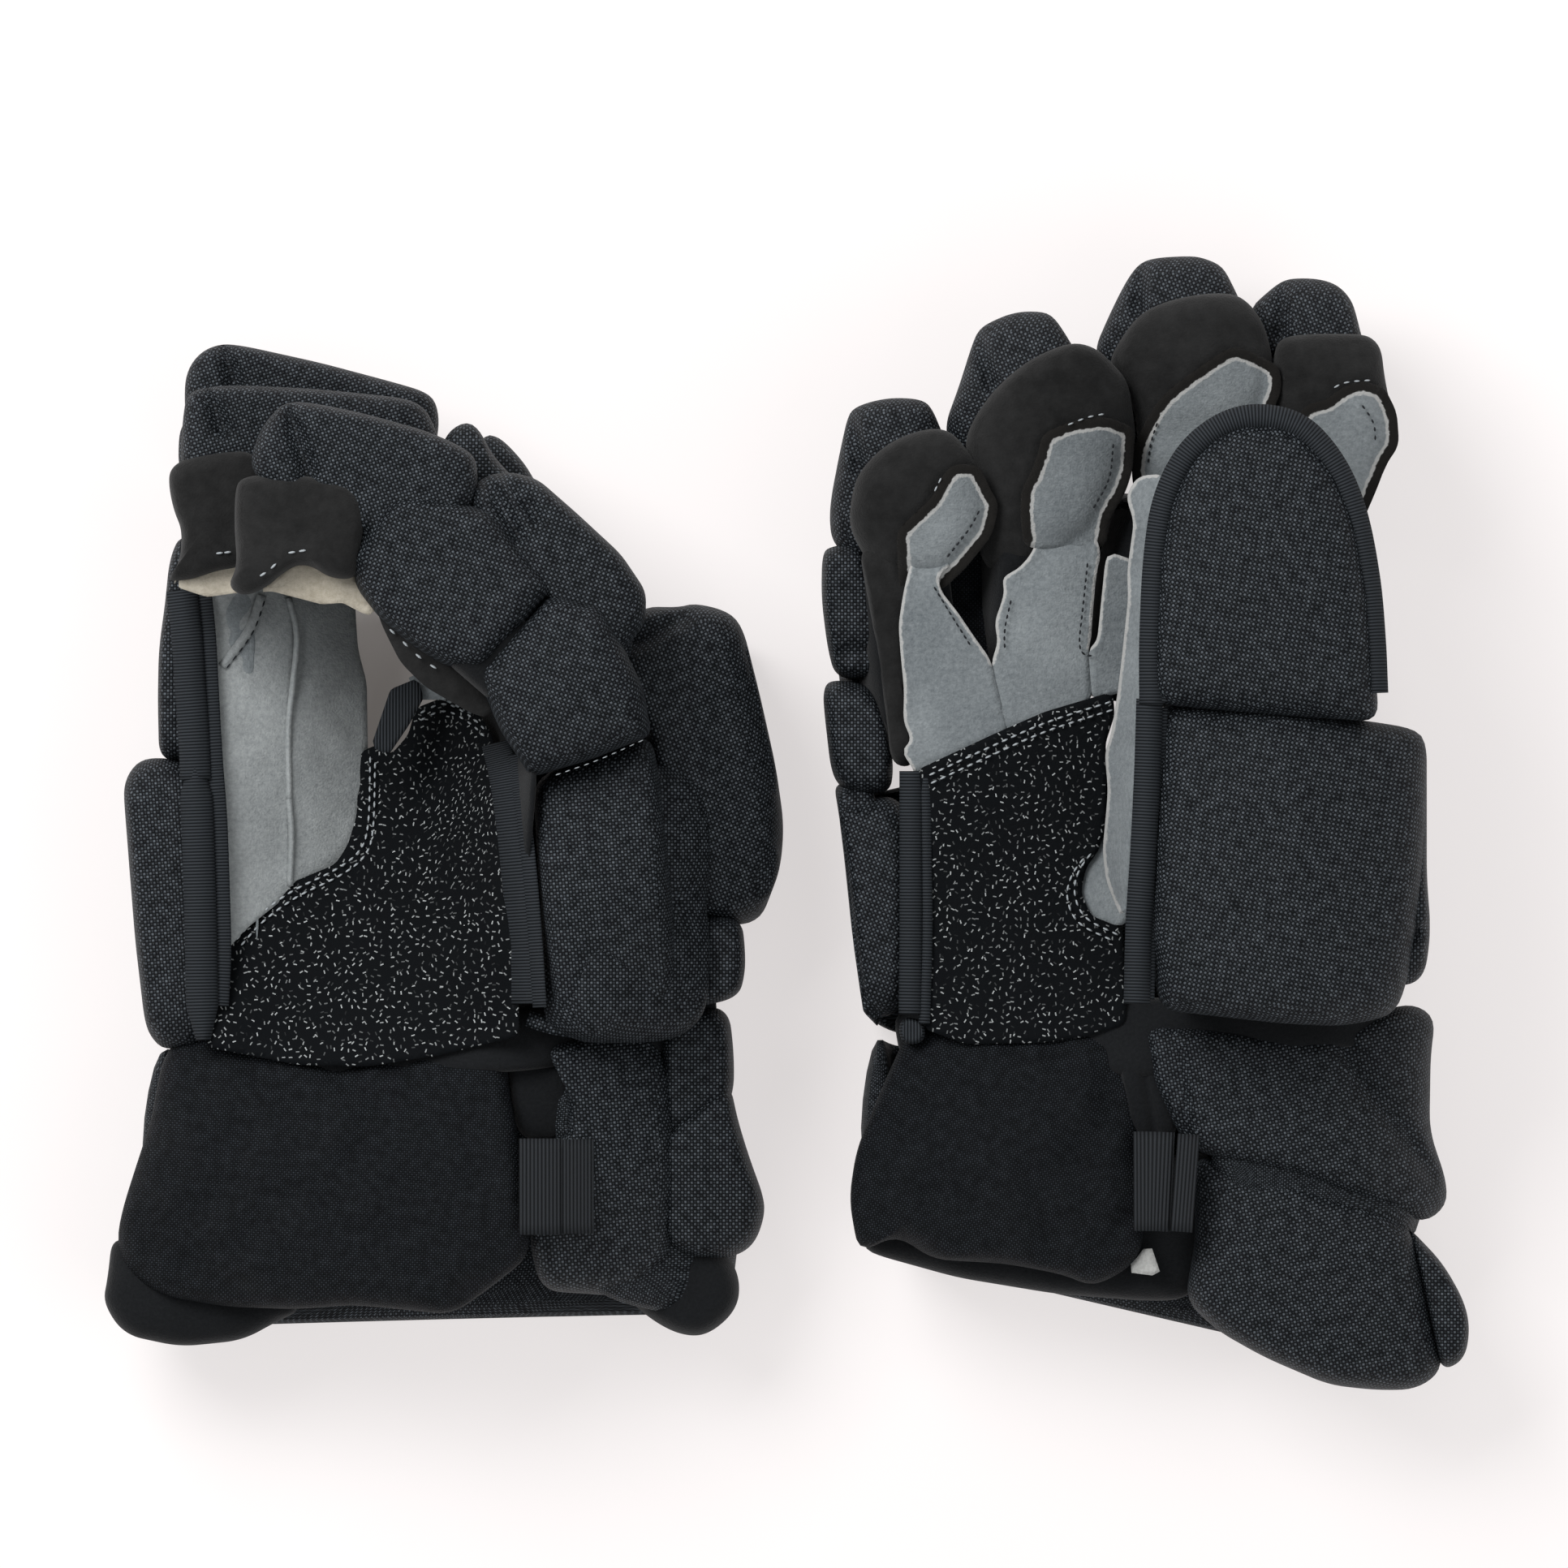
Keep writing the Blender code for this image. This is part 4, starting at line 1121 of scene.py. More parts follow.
# %% Right thumb pads
pad("right_thumb_tip_cushion", "right_thumb_tip", nylon, "black_nylon",
    [(1418, 868), (1416, 800), (1421, 700), (1434, 622), (1458, 570), (1498, 530), (1546, 516),
     (1596, 528), (1638, 576), (1664, 634), (1680, 716), (1688, 800), (1694, 890), (1560, 882)],
    top=[(1550, 560, 0.1230), (1450, 700, 0.1255), (1550, 700, 0.1275), (1650, 700, 0.1255),
     (1550, 860, 0.1250)], depth=0.044, crown=0.013, nodes=["right_thumb_tip_pad"], grain=35.0,
    fullness=0.24, wrinkle=0.0009)
pad("right_thumb_base_cushion", "hands", nylon, "black_nylon",
    [(1426, 866), (1561, 874), (1692, 890), (1740, 898), (1755, 914), (1754, 990), (1748, 1100),
     (1732, 1205), (1716, 1250), (1651, 1263), (1581, 1260), (1426, 1243), (1414, 1150), (1418, 1000)],
    top=[(1450, 900, 0.1180), (1450, 1230, 0.1160), (1600, 900, 0.1205), (1600, 1060, 0.1215),
     (1600, 1230, 0.1190), (1740, 950, 0.1080), (1725, 1200, 0.1080)], depth=0.050, crown=0.015,
    nodes=["right_thumb_base_pad"], grain=35.0, fullness=0.2, wrinkle=0.0012)
pad("right_thumb_side_cushion", "hands", nylon, "black_nylon",
    [(1690, 930), (1740, 900), (1756, 914), (1756, 1080), (1761, 1147), (1754, 1203), (1726, 1217),
     (1690, 1200)], top=0.098, depth=0.090, crown=0.014, fullness=0.3,
    channels=[(((1735, 1152), (1765, 1140)), 0.004, 0.002)])
print("right thumb pads made")

# %% Right thumb tape and wall
tape_piece("right_thumb_tape_tip", "right_thumb_tip", tape,
    [(1416, 868, 0.1165), (1416, 790, 0.1170), (1421, 690, 0.1170), (1433, 618, 0.1165),
     (1461, 562, 0.1160), (1502, 528, 0.1155), (1547, 517, 0.1155), (1597, 530, 0.1155),
     (1637, 574, 0.1160), (1663, 634, 0.1165), (1679, 714, 0.1170), (1686, 790, 0.1170),
     (1689, 855, 0.1165)], width=0.0080, lift=0.0028)
tape_piece("right_thumb_tape_base", "hands", tape,
    [(1413, 862, 0.1150), (1410, 960, 0.1140), (1405, 1060, 0.1130), (1400, 1140, 0.1110),
     (1398, 1235, 0.1070)], width=0.0082, lift=0.0028)
tape_piece("right_thumb_seam_tip", "right_thumb_tip", tape,
    [(1430, 866, 0.1170), (1432, 790, 0.1178), (1437, 700, 0.1178), (1448, 635, 0.1172),
     (1472, 588, 0.1165)], width=0.0034, lift=0.0008)
tape_piece("right_thumb_seam_base", "hands", tape,
    [(1429, 872, 0.1130), (1426, 960, 0.1120), (1421, 1060, 0.1110), (1416, 1140, 0.1095),
     (1413, 1230, 0.1060)], width=0.0034, lift=0.0008)
panel("right_thumb_wall", "hands", cut_suede,
    [(1385, 612), (1400, 588), (1434, 586), (1424, 640), (1412, 768), (1406, 831), (1400, 911),
     (1396, 991), (1390, 1070), (1388, 1136), (1379, 1128), (1362, 1085), (1358, 1048), (1364, 975),
     (1360, 927), (1367, 908), (1375, 857), (1381, 806), (1388, 739), (1387, 704), (1395, 644)],
    top=[(1390, 620, 0.0960), (1425, 600, 0.1060), (1392, 740, 0.0980), (1412, 740, 0.1080),
     (1366, 950, 0.0900), (1398, 950, 0.1060), (1362, 1060, 0.0800), (1388, 1070, 0.0990),
     (1384, 1130, 0.0900)],
    joins=[((1434, 586), (1424, 640)), ((1424, 640), (1400, 911)), ((1400, 911), (1388, 1138))],
    wrinkle=0.0016, ridge=0.0008)
print("right thumb tape made")

# %% [markdown]
# ## Right little-finger side
# Short rolls guard the outer edge of the hand, and ribbed tape closes the palm along them.

# %% Right outer rolls
pad("right_outer_finger_roll", "right_little_base", nylon, "black_nylon",
    [(1012, 736), (1013, 680), (1024, 672), (1060, 667), (1074, 704), (1088, 790), (1094, 838),
     (1030, 836), (1020, 800)], top=[(1040, 690, 0.0640), (1050, 760, 0.0630), (1060, 825, 0.0600)],
    depth=0.052, crown=0.016, fullness=0.28, channels=[(((1012, 808), (1090, 800)), 0.003, 0.003)])
pad("right_outer_knuckle_roll", "hands", nylon, "black_nylon",
    [(1014, 852), (1022, 836), (1073, 842), (1094, 880), (1102, 950), (1096, 978), (1057, 980),
     (1035, 970), (1024, 950), (1016, 880)],
    top=[(1040, 850, 0.0610), (1060, 910, 0.0625), (1070, 970, 0.0615)], depth=0.056, crown=0.016,
    fullness=0.28)
pad("right_outer_hand_roll", "hands", nylon, "black_nylon",
    [(1032, 990), (1050, 984), (1106, 980), (1118, 1010), (1120, 1120), (1118, 1240), (1092, 1256),
     (1064, 1248), (1050, 1150), (1040, 1054)],
    top=[(1075, 1000, 0.0630), (1085, 1100, 0.0645), (1095, 1240, 0.0630)], depth=0.060, crown=0.016,
    fullness=0.28, grain=25.0)
tape_piece("right_palm_tape", "hands", tape,
    [(1122, 950, 0.0665), (1122, 1050, 0.0670), (1122, 1150, 0.0670), (1121, 1250, 0.0660)], width=0.0070,
    lift=0.0018)
tape_piece("right_palm_tape_edge", "hands", tape,
    [(1140, 958, 0.0662), (1141, 1050, 0.0662), (1142, 1150, 0.0662), (1139, 1262, 0.0655)], width=0.0036,
    lift=0.0010)
pad("right_palm_loop", "hands", tape, "webbing",
    [(1106, 1264), (1118, 1252), (1140, 1260), (1140, 1286), (1112, 1288)], top=0.0660, depth=0.012,
    crown=0.006)
print("right outer rolls made")

# %% [markdown]
# ## Right cuff
# The cuff wraps the wrist: a soft panel over the palm side, two thick rolls on the thumb side that
# flare out, a smooth lining edge below, and an elastic tab that joins panel and rolls.

# %% Right cuff pads
pad("right_cuff_panel_cushion", "right_cuff", panel_cloth, "black_nylon",
    [(1119, 1270), (1087, 1341), (1055, 1418), (1046, 1479), (1058, 1546), (1105, 1522), (1149, 1553),
     (1240, 1558), (1313, 1572), (1346, 1587), (1384, 1569), (1408, 1546), (1412, 1450), (1404, 1380),
     (1386, 1250), (1340, 1258), (1287, 1264), (1191, 1266)],
    top=[(1130, 1280, 0.0610), (1250, 1275, 0.0625), (1380, 1265, 0.0625), (1080, 1450, 0.0690),
     (1240, 1420, 0.0725), (1390, 1450, 0.0700), (1240, 1330, 0.0680), (1150, 1545, 0.0680),
     (1350, 1570, 0.0680)], depth=0.020, crown=0.009, nodes=["right_cuff_palm_panel"], grain=10.0,
    fullness=0.2, wrinkle=0.0022,
    channels=[(((1096, 1400), (1062, 1500)), 0.0016, 0.004),
     (((1070, 1490), (1130, 1545)), 0.0020, 0.004), (((1380, 1330), (1330, 1470)), 0.0014, 0.005),
     (((1395, 1500), (1320, 1575)), 0.0016, 0.004)])
pad("right_cuff_upper_cushion", "right_cuff", nylon, "black_nylon",
    [(1410, 1262), (1500, 1266), (1651, 1272), (1722, 1240), (1752, 1240), (1773, 1258), (1767, 1300),
     (1766, 1396), (1788, 1459), (1788, 1490), (1759, 1511), (1703, 1489), (1605, 1450), (1472, 1420),
     (1448, 1390), (1420, 1330)],
    top=[(1440, 1300, 0.0760), (1480, 1400, 0.0770), (1600, 1360, 0.0740), (1700, 1280, 0.0640),
     (1740, 1380, 0.0560), (1770, 1480, 0.0480), (1690, 1450, 0.0660)], depth=0.040, crown=0.015,
    grain=10.0, fullness=0.22, wrinkle=0.0009,
    channels=[(((1655, 1278), (1682, 1330)), 0.0034, 0.0028),
     (((1682, 1330), (1768, 1448)), 0.0034, 0.0028), (((1444, 1268), (1462, 1400)), 0.0040, 0.0028),
     (((1428, 1268), (1444, 1350)), 0.0030, 0.0024)])
pad("right_cuff_lower_cushion", "right_cuff", nylon, "black_nylon",
    [(1472, 1424), (1605, 1453), (1703, 1492), (1742, 1516), (1762, 1600), (1784, 1690), (1752, 1716),
     (1704, 1717), (1641, 1710), (1560, 1675), (1500, 1641), (1461, 1603), (1474, 1530)],
    top=[(1490, 1450, 0.0700), (1600, 1500, 0.0690), (1700, 1520, 0.0630), (1520, 1600, 0.0680),
     (1650, 1640, 0.0630), (1760, 1680, 0.0540)], depth=0.038, crown=0.016, grain=10.0,
    fullness=0.22, wrinkle=0.0009)
pad("right_cuff_flare_cushion", "right_cuff", nylon, "black_nylon",
    [(1735, 1510), (1782, 1559), (1809, 1607), (1816, 1642), (1809, 1680), (1780, 1694), (1758, 1600)],
    top=0.052, depth=0.050, crown=0.015, fullness=0.26)
pad("right_cuff_lining", "right_cuff", lining_and_shade, "black_nylon",
    [(1060, 1500), (1064, 1540), (1080, 1549), (1181, 1577), (1302, 1597), (1416, 1606), (1466, 1604),
     (1500, 1560), (1500, 1420), (1400, 1430), (1200, 1480)], top=0.054, depth=0.030, crown=0.010,
    fullness=0.3)
panel("right_cuff_tag", "right_cuff", raw_edge,
    [(1384, 1568), (1402, 1550), (1417, 1530), (1432, 1574)], top=0.0600, corner=0.0008)
print("right cuff pads made")

# %% Right tabs
tape_piece("right_cuff_tab", "right_cuff", webbing,
    [(1396, 1455, 0.0760), (1420, 1455, 0.0775), (1444, 1456, 0.0775)], width=0.0310, lift=0.0004,
    nodes=["right_cuff_elastic_tab"])
tape_piece("right_cuff_tab_edge", "right_cuff", webbing,
    [(1446, 1456, 0.0790), (1460, 1457, 0.0795), (1473, 1458, 0.0785)], width=0.0305, lift=0.0004)
pad("right_cuff_gap", "right_cuff", lining_and_shade, "black_nylon",
    [(1372, 1270), (1414, 1262), (1430, 1330), (1456, 1402), (1396, 1406), (1384, 1350)], top=0.0655,
    depth=0.020, crown=0.006, channels=[(((1400, 1266), (1424, 1396)), 0.0016, 0.0016)])
pad("right_wrist_lining", "hands", lining_and_shade, "black_nylon",
    [(1100, 1246), (1250, 1236), (1420, 1230), (1704, 1222), (1708, 1286), (1600, 1300), (1410, 1330),
     (1110, 1310)],
    top=[(1120, 1280, 0.0560), (1420, 1275, 0.0660), (1600, 1270, 0.0715), (1700, 1260, 0.0640)],
    depth=0.045, crown=0.007, blend=("right_cuff", (*plan(1400, 1262), 0.05), (*plan(1400, 1302), 0.05)))
print("right tabs made")

# %% [markdown]
# ## Left fingers
# The folded glove shows its fingers from the little-finger side, stacked one below the other with
# their tips to the left. Each visible fingertip is a pad at its own finger's height, so that lower
# fingers look out past upper ones.

# %% Left fingertips
pad("left_index_tip_cushion", "left_index_tip", nylon, "black_nylon",
    [(213, 552), (215, 524), (226, 512), (300, 490), (520, 545), (530, 600), (400, 650), (300, 640),
     (230, 610), (214, 574)], top=0.0290, depth=0.026, crown=0.010,
    nodes=["left_index_tip_pad", "left_index_tip_stall"])
pad("left_middle_tip_cushion", "left_middle_tip", nylon, "black_nylon",
    [(224, 492), (226, 457), (243, 432), (269, 421), (298, 424), (393, 445), (483, 469), (524, 481),
     (537, 496), (540, 528), (520, 600), (400, 620), (300, 600), (230, 560)], top=0.0585, depth=0.027,
    crown=0.011, nodes=["left_middle_tip_pad", "left_middle_tip_stall"], grain=15.0, fullness=0.2,
    channels=[(((272, 423), (288, 474)), 0.0060, 0.0024)])
pad("left_ring_tip_cushion", "left_ring_tip", nylon, "black_nylon",
    [(231, 486), (253, 477), (298, 475), (393, 480), (451, 486), (499, 491), (524, 502), (538, 531),
     (560, 600), (450, 660), (300, 640), (232, 610), (223, 569), (226, 515)], top=0.0885, depth=0.027,
    crown=0.011, nodes=["left_ring_tip_pad"], grain=15.0, fullness=0.2,
    channels=[(((256, 480), (276, 528)), 0.0060, 0.0024)])
pad("left_little_tip_cushion", "left_little_tip", nylon, "black_nylon",
    [(310, 582), (320, 540), (339, 512), (358, 497), (393, 500), (451, 512), (530, 534), (578, 556),
     (591, 572), (590, 617), (572, 660), (480, 680), (420, 640), (345, 612)], top=0.1190, depth=0.027,
    crown=0.012, nodes=["left_little_tip_pad"], grain=15.0, fullness=0.22,
    channels=[(((360, 508), (384, 588)), 0.0065, 0.0026)])
print("left tip pads made")

# %% Left suede caps
LEFT_CAPS = {
    "ring": (
        [(210, 579), (228, 566), (259, 557), (320, 555), (330, 620), (320, 690), (293, 700), (266, 704),
         (240, 714), (204, 718), (222, 697), (226, 655), (215, 630), (209, 600)],
        [(240, 570, 0.0920), (300, 620, 0.0925), (240, 690, 0.0900), (215, 640, 0.0880)]),
    "little": (
        [(294, 604), (302, 591), (330, 587), (371, 587), (438, 599), (456, 630), (446, 690), (442, 716),
         (410, 714), (390, 700), (371, 697), (352, 708), (330, 727), (304, 737), (284, 724), (297, 700),
         (293, 655)],
        [(310, 600, 0.1190), (400, 600, 0.1225), (440, 650, 0.1225), (310, 720, 0.1180),
         (420, 710, 0.1200)]),
}
LEFT_CAP_CROWN, LEFT_CAP_FULLNESS = 0.010, 0.3
for finger, (outline, top) in LEFT_CAPS.items():
    pad(f"left_{finger}_cap", f"left_{finger}_tip", dark_suede, "fingertip_suede", outline, top=top,
        depth=0.026, crown=LEFT_CAP_CROWN, nodes=[f"left_{finger}_tip_stall"],
        fullness=LEFT_CAP_FULLNESS, wrinkle=0.0018, gather=0.0010)
left_cap_heights = {finger: pad_heights(*cap, LEFT_CAP_CROWN, LEFT_CAP_FULLNESS, 0.0)
                    for finger, cap in LEFT_CAPS.items()}
panel("left_ring_raw_edge", "left_ring_tip", cream_edge,
    [(206, 714), (250, 706), (279, 690), (306, 688), (300, 730), (256, 736), (225, 726)], top=0.0800,
    wrinkle=0.0012, corner=0.001)
panel("left_little_raw_edge", "left_little_tip", cream_edge,
    [(300, 732), (336, 720), (365, 694), (386, 694), (440, 708), (452, 730), (470, 760), (452, 758),
     (425, 744), (400, 746), (339, 730)], top=0.1060, wrinkle=0.0012, corner=0.001)
CAP_THREADS = {
    "left_cap_thread": ("little", [(322, 714), (338, 704), (348, 694)]),
    "left_cap_thread_end": ("little", [(358, 684), (384, 680)]),
    "left_ring_cap_thread": ("ring", [(268, 683), (288, 681)]),
}
for name, (finger, points) in CAP_THREADS.items():
    stitch_line(name, f"left_{finger}_tip", set_on(left_cap_heights[finger], points, above=0.0006), thread,
        spacing=0.0036, long=0.0026, thick=0.0004)
print("left suede caps made")

# %% Left finger backs
pad("left_index_back_cushion", "left_index_base", nylon, "black_nylon",
    [(545, 610), (620, 585), (690, 640), (750, 712), (775, 795), (700, 835), (600, 800), (520, 690)],
    top=0.0290, depth=0.026, crown=0.010, nodes=["left_index_base_pad"])
pad("left_middle_back_cushion", "left_middle_base", nylon, "black_nylon",
    [(560, 600), (594, 533), (612, 536), (628, 550), (647, 572), (658, 592), (702, 652), (760, 722),
     (780, 800), (720, 850), (620, 820), (540, 700)], top=0.0580, depth=0.027, crown=0.011,
    nodes=["left_middle_base_pad"])
pad("left_ring_back_cushion", "left_ring_base", nylon, "black_nylon",
    [(542, 560), (549, 538), (562, 525), (578, 520), (592, 531), (606, 560), (680, 640), (752, 720),
     (785, 800), (740, 860), (640, 860), (560, 760), (520, 680)], top=0.0865, depth=0.026, crown=0.011,
    nodes=["left_ring_base_pad"])
pad("left_little_back_cushion", "left_little_base", nylon, "black_nylon",
    [(586, 640), (580, 606), (600, 588), (630, 583), (664, 592), (712, 634), (766, 684), (797, 730),
     (796, 770), (766, 806), (700, 770), (640, 700)],
    top=[(630, 600, 0.1140), (660, 680, 0.1165), (770, 720, 0.1100)], depth=0.025, crown=0.012,
    nodes=["left_little_base_pad"], grain=30.0, corner=0.0035,
    channels=[(((602, 592), (640, 664)), 0.0045, 0.0026), (((622, 588), (664, 640)), 0.0030, 0.0024)])
pad("left_outer_finger_cushion", "left_little_base", nylon, "black_nylon",
    [(434, 680), (444, 644), (464, 610), (530, 612), (604, 630), (642, 676), (684, 728), (645, 776),
     (596, 826), (552, 822), (510, 796), (470, 762), (442, 726)],
    top=[(460, 660, 0.1220), (540, 640, 0.1240), (640, 725, 0.1245), (580, 800, 0.1235),
     (500, 730, 0.1220)], depth=0.032, crown=0.016, grain=30.0, fullness=0.22, wrinkle=0.0012,
    corner=0.003, channels=[(((446, 672), (484, 612)), 0.0050, 0.0024)])
pad("left_outer_knuckle_cushion", "left_little_base", nylon, "black_nylon",
    [(588, 828), (636, 778), (680, 732), (740, 748), (770, 800), (793, 846), (804, 906), (730, 936),
     (656, 958), (618, 900)],
    top=[(610, 830, 0.1220), (680, 770, 0.1240), (700, 850, 0.1250), (780, 890, 0.1180),
     (660, 930, 0.1200)], depth=0.042, crown=0.016, grain=30.0, fullness=0.22, wrinkle=0.0012,
    corner=0.003)
print("left finger backs made")

# %% [markdown]
# ## Left hand
# On the right of the folded glove stand the large backhand block and the little-side block. The palm
# turns into the hollow of the grip: flecked cloth below, grey thumb suede beside it, and an open gap
# between thumb and fingers.

# %% Left hand blocks
pad("left_backhand_cushion", "hands", nylon, "black_nylon",
    [(752, 806), (770, 776), (790, 746), (836, 748), (855, 742), (897, 752), (915, 772), (936, 855),
     (956, 945), (966, 1016), (962, 1070), (936, 1138), (885, 1142), (840, 1120), (822, 1020), (800, 925),
     (780, 860)],
    top=[(800, 770, 0.0740), (900, 770, 0.0680), (800, 850, 0.0760), (930, 900, 0.0620),
     (860, 1000, 0.0730), (950, 1040, 0.0580), (900, 1130, 0.0620)], depth=0.068, crown=0.020,
    grain=20.0, fullness=0.2, wrinkle=0.0012,
    channels=[(((842, 760), (762, 800)), 0.0060, 0.0030), (((905, 775), (960, 1030)), 0.0020, 0.0030)])
pad("left_side_cushion", "hands", nylon, "black_nylon",
    [(658, 968), (680, 948), (740, 926), (802, 904), (812, 951), (820, 1016), (829, 1110), (836, 1200),
     (834, 1246), (800, 1258), (720, 1266), (684, 1260), (674, 1180), (664, 1080)],
    top=[(690, 975, 0.1040), (690, 1240, 0.1000), (750, 1100, 0.1060), (805, 940, 0.0980),
     (825, 1230, 0.0880)], depth=0.062, crown=0.018, grain=5.0, fullness=0.2, wrinkle=0.0010)
pad("left_wrist_cushion", "hands", nylon, "black_nylon",
    [(812, 1130), (880, 1128), (914, 1134), (918, 1170), (918, 1200), (910, 1230), (850, 1244),
     (812, 1240)], top=0.0660, depth=0.052, crown=0.014, fullness=0.2)
tape_piece("left_wrist_piping", "hands", nylon,
    [(650, 1254, 0.0810), (682, 1264, 0.0840), (720, 1268, 0.0840), (780, 1262, 0.0800),
     (818, 1250, 0.0760)], width=0.0050, lift=0.0022)
stitch_line("left_block_thread", "hands", [(684, 956, 0.1130), (740, 936, 0.1130), (796, 911, 0.1100)],
    thread, spacing=0.0030, long=0.0020, thick=0.0002)
print("left hand blocks made")

# %% Left palm
# The palm's heights lie a few millimetres above the solid palm.
LEFT_PALM = [(335, 1265, 0.0620), (425, 1265, 0.0680), (515, 1265, 0.0740), (605, 1265, 0.0810),
    (425, 1175, 0.0570), (515, 1175, 0.0700), (605, 1175, 0.0860), (470, 1085, 0.0500),
    (560, 1085, 0.0720), (605, 1085, 0.0870), (515, 995, 0.0430), (560, 995, 0.0600), (605, 995, 0.0820),
    (515, 950, 0.0360), (560, 950, 0.0520), (605, 950, 0.0720), (290, 1250, 0.0620), (290, 1175, 0.0560),
    (334, 1110, 0.0500), (411, 1075, 0.0460), (445, 1033, 0.0400), (457, 937, 0.0320)]
PALM_ROW = [(288, 1160), (315, 1130), (357, 1099), (411, 1072), (441, 1048), (451, 1014), (453, 930)]
ARC_ROW = [(512, 880), (545, 866), (578, 882), (598, 900)]
ROW_LIFT = 0.0016
panel("left_overlay_cloth", "hands", flecked,
    [(252, 1290), (262, 1230), (268, 1150), (284, 1140), (315, 1112), (357, 1088), (411, 1065),
     (426, 1041), (436, 1006), (440, 926), (464, 916), (478, 930), (500, 905), (509, 872), (545, 858),
     (590, 880), (606, 905), (625, 1000), (634, 1100), (640, 1200), (640, 1276), (541, 1300), (453, 1314),
     (365, 1312)], top=LEFT_PALM, nodes=["left_palm_overlay"], corner=0.002)
panel("left_thumb_suede", "hands", thumb_suede,
    [(244, 722), (330, 712), (434, 726), (434, 754), (437, 799), (448, 840), (449, 899), (450, 940),
     (446, 1030), (418, 1076), (357, 1100), (300, 1146), (262, 1190), (256, 1014), (252, 918),
     (248, 846)],
    top=[(262, 742, 0.0480), (266, 900, 0.0560), (276, 1140, 0.0590), (350, 740, 0.0430),
     (352, 900, 0.0480), (356, 1080, 0.0480), (434, 780, 0.0260), (448, 900, 0.0280),
     (446, 1030, 0.0340)], wrinkle=0.0008,
    blend=("left_thumb_tip", (*plan(321, 1060), 0.05), (*plan(321, 960), 0.05)))
panel("left_grip_wedge", "hands", palm_suede,
    [(500, 828), (518, 832), (580, 868), (586, 884), (545, 862), (512, 862)], top=0.0560, corner=0.0008)
panel("left_grip_strap", "hands", tape,
    [(480, 849), (514, 835), (521, 860), (503, 893), (478, 930), (456, 920)], top=0.0600, thick=0.003,
    corner=0.0012)
panel("left_finger_edge", "left_little_base", dark_suede,
    [(452, 728), (465, 745), (473, 771), (496, 817), (526, 847), (584, 880), (612, 888), (596, 850),
     (560, 812), (520, 785), (490, 740), (470, 712)],
    top=[(460, 730, 0.1060), (500, 800, 0.1060), (600, 880, 0.1060)], wrinkle=0.001)
stitch_line("left_finger_edge_thread", "left_little_base",
    [(478, 772, 0.1080), (496, 788, 0.1080), (519, 811, 0.1080), (546, 828, 0.1080)], thread,
    spacing=0.0045, long=0.0026, thick=0.0004)
double_row("left_palm_stitch", "hands", set_on(LEFT_PALM, PALM_ROW, ROW_LIFT), gap=(6, 7))
double_row("left_arc_stitch", "hands", set_on(LEFT_PALM, ARC_ROW, ROW_LIFT), gap=(0, 9))
tape_piece("left_thumb_seam_tip", "left_thumb_tip", thumb_suede,
    [(353, 736, 0.0436), (363, 783, 0.0440), (358, 846, 0.0462), (353, 900, 0.0482), (354, 985, 0.0486)],
    width=0.0020, lift=0.0010)
tape_piece("left_thumb_seam_base", "hands", thumb_suede,
    [(354, 985, 0.0486), (357, 1030, 0.0488), (355, 1092, 0.0488)], width=0.0020, lift=0.0010)
tape_piece("left_thumb_fold_seam", "left_thumb_tip", thumb_suede,
    [(320, 733, 0.0462), (304, 776, 0.0486), (272, 821, 0.0524)], width=0.0030, lift=0.0010)
stitch_line("left_thumb_fold_stitch", "left_thumb_tip",
    [(324, 737, 0.0466), (308, 780, 0.0488), (275, 825, 0.0526)], dark_thread, spacing=0.0030,
    long=0.0024, thick=0.0004)
print("left palm made")

# %% Left palm tape
tape_piece("left_palm_tape", "hands", tape,
    [(611, 915, 0.0740), (622, 960, 0.0860), (631, 1020, 0.0940), (638, 1090, 0.0955),
     (644, 1170, 0.0930), (646, 1236, 0.0890)], width=0.0092, lift=0.0026, tilt=0.9)
tape_piece("left_palm_tape_edge", "hands", tape,
    [(632, 930, 0.0840), (646, 1000, 0.0990), (655, 1080, 0.1010), (662, 1170, 0.0985),
     (666, 1240, 0.0940)], width=0.0044, lift=0.0008, tilt=0.6)
print("left palm tape made")

# %% Left thumb
pad("left_thumb_tip_cushion", "left_thumb_tip", nylon, "black_nylon",
    [(191, 860), (192, 799), (200, 738), (204, 690), (215, 660), (228, 664), (240, 720), (250, 830),
     (250, 938), (193, 938)], top=[(215, 690, 0.0500), (220, 800, 0.0560), (225, 930, 0.0600)],
    depth=0.050, crown=0.014, nodes=["left_thumb_tip_pad"], fullness=0.24)
pad("left_thumb_base_cushion", "hands", nylon, "black_nylon",
    [(149, 985), (149, 968), (156, 950), (170, 936), (193, 933), (230, 938), (250, 1000), (256, 1150),
     (252, 1288), (200, 1296), (184, 1282), (175, 1263), (163, 1160), (155, 1060)],
    top=[(180, 960, 0.0600), (190, 1260, 0.0600), (240, 1100, 0.0640)], depth=0.060, crown=0.016,
    nodes=["left_thumb_base_pad"], grain=5.0, fullness=0.22)
tape_piece("left_thumb_tape_tip", "left_thumb_tip", tape,
    [(221, 726, 0.0520), (228, 783, 0.0565), (233, 850, 0.0600), (237, 900, 0.0620), (240, 960, 0.0635)],
    width=0.0096, lift=0.0026)
tape_piece("left_thumb_tape_base", "hands", tape,
    [(239, 940, 0.0630), (242, 1010, 0.0650), (245, 1090, 0.0660), (247, 1170, 0.0660),
     (248, 1230, 0.0655), (250, 1282, 0.0640)], width=0.0100, lift=0.0026, ends=0.45)
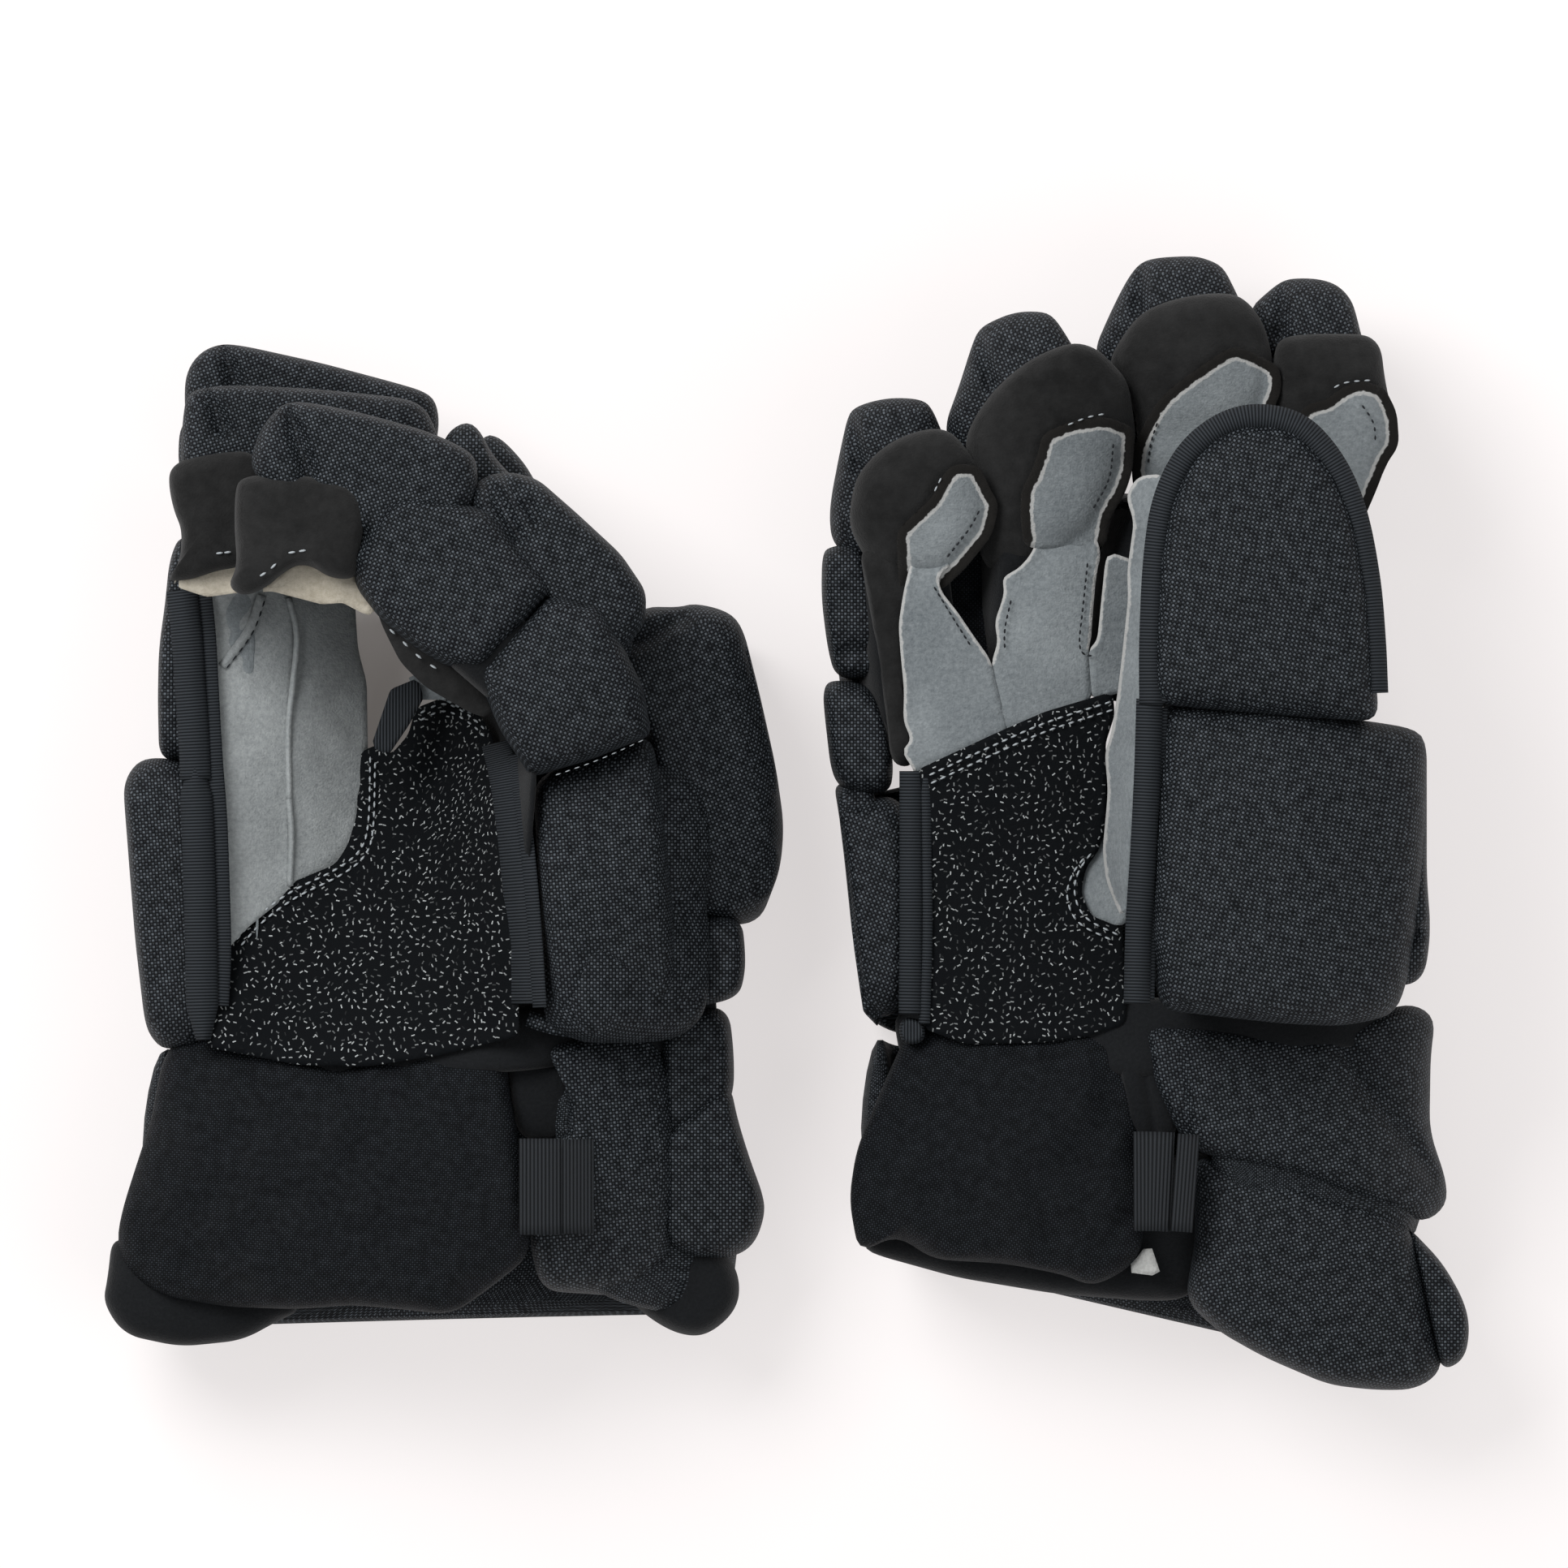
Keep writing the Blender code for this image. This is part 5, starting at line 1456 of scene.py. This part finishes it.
tape_piece("left_thumb_band_tip", "left_thumb_tip", tape,
    [(247, 728, 0.0500), (253, 783, 0.0545), (257, 850, 0.0580), (260, 900, 0.0605), (264, 960, 0.0620)],
    width=0.0056, lift=0.0008)
tape_piece("left_thumb_band_base", "hands", tape,
    [(263, 945, 0.0618), (268, 1010, 0.0630), (271, 1090, 0.0640), (273, 1170, 0.0640),
     (270, 1240, 0.0635)], width=0.0056, lift=0.0008)
print("left thumb made")

# %% [markdown]
# ## Left cuff
# It mirrors the right cuff, seen more from the side: the soft panel, a side roll, two flared rolls
# and the tab.

# %% Left cuff pads
pad("left_cuff_lining", "left_cuff", lining_and_shade, "black_nylon",
    [(134, 1524), (128, 1580), (122, 1608), (148, 1648), (218, 1663), (296, 1655), (337, 1632),
     (372, 1616), (330, 1580), (200, 1550)], top=0.0500, depth=0.028, crown=0.010, fullness=0.28)
pad("left_cuff_panel_cushion", "left_cuff", panel_cloth, "black_nylon",
    [(200, 1297), (190, 1340), (184, 1380), (170, 1422), (148, 1490), (140, 1530), (150, 1572),
     (200, 1600), (280, 1612), (366, 1614), (433, 1608), (500, 1614), (557, 1620), (594, 1594),
     (653, 1548), (650, 1450), (640, 1404), (628, 1350), (622, 1262), (541, 1278), (453, 1292),
     (365, 1290), (230, 1272)],
    top=[(215, 1290, 0.0560), (420, 1300, 0.0640), (605, 1275, 0.0760), (420, 1350, 0.0735),
     (180, 1450, 0.0600), (420, 1450, 0.0775), (630, 1450, 0.0835), (190, 1580, 0.0580),
     (420, 1590, 0.0755), (600, 1580, 0.0820)], depth=0.024, crown=0.010, nodes=["left_cuff_palm_panel"],
    grain=-4.0, fullness=0.18, wrinkle=0.0022,
    channels=[(((170, 1520), (300, 1600)), 0.0018, 0.005), (((640, 1520), (560, 1610)), 0.0020, 0.005),
     (((200, 1330), (170, 1470)), 0.0014, 0.005)])
pad("left_cuff_side_cushion", "left_cuff", nylon, "black_nylon",
    [(700, 1404), (697, 1330), (668, 1290), (740, 1268), (805, 1264), (828, 1310), (834, 1450),
     (824, 1560), (775, 1600), (668, 1592), (654, 1548), (650, 1410)],
    top=[(690, 1300, 0.0810), (690, 1560, 0.0720), (750, 1430, 0.0760), (820, 1300, 0.0620),
     (825, 1540, 0.0600)], depth=0.034, crown=0.014, grain=5.0, fullness=0.22)
pad("left_cuff_upper_cushion", "left_cuff", nylon, "black_nylon",
    [(812, 1268), (862, 1240), (898, 1246), (904, 1300), (904, 1350), (880, 1400), (820, 1410)],
    top=[(840, 1300, 0.0610), (890, 1320, 0.0540), (860, 1420, 0.0560)], depth=0.052, crown=0.016,
    fullness=0.24)
pad("left_cuff_lower_cushion", "left_cuff", nylon, "black_nylon",
    [(814, 1400), (860, 1360), (899, 1334), (908, 1380), (924, 1432), (941, 1478), (942, 1502),
     (930, 1536), (906, 1552), (866, 1556), (816, 1540)],
    top=[(850, 1420, 0.0610), (930, 1490, 0.0500), (860, 1540, 0.0560)], depth=0.048, crown=0.016,
    fullness=0.22)
pad("left_cuff_flare_cushion", "left_cuff", lining_and_shade, "black_nylon",
    [(766, 1598), (790, 1540), (850, 1536), (895, 1546), (912, 1580), (908, 1618), (872, 1650),
     (838, 1650), (800, 1630)], top=0.0480, depth=0.044, crown=0.016, fullness=0.3)
pad("left_cuff_gap", "left_cuff", lining_and_shade, "black_nylon",
    [(624, 1288), (652, 1284), (700, 1300), (704, 1404), (640, 1406), (630, 1360)], top=0.0700,
    depth=0.024, crown=0.006)
print("left cuff pads made")

# %% Left tabs
tape_piece("left_cuff_tab", "left_cuff", webbing,
    [(640, 1461, 0.0842), (668, 1461, 0.0842), (694, 1461, 0.0828)], width=0.0300, lift=0.0004,
    nodes=["left_cuff_elastic_tab"])
tape_piece("left_cuff_tab_edge", "left_cuff", webbing,
    [(694, 1461, 0.0832), (712, 1461, 0.0816), (732, 1461, 0.0794)], width=0.0295, lift=0.0004)
pad("left_wrist_lining", "hands", lining_and_shade, "black_nylon",
    [(210, 1262), (420, 1270), (620, 1240), (880, 1210), (886, 1290), (640, 1320), (420, 1330),
     (220, 1320)],
    top=[(220, 1290, 0.0520), (290, 1290, 0.0570), (425, 1290, 0.0650), (515, 1288, 0.0705),
     (605, 1284, 0.0770), (700, 1275, 0.0700), (880, 1250, 0.0500)], depth=0.036, crown=0.006,
    blend=("left_cuff", (*plan(573, 1262), 0.05), (*plan(573, 1302), 0.05)))
print("left tabs made")
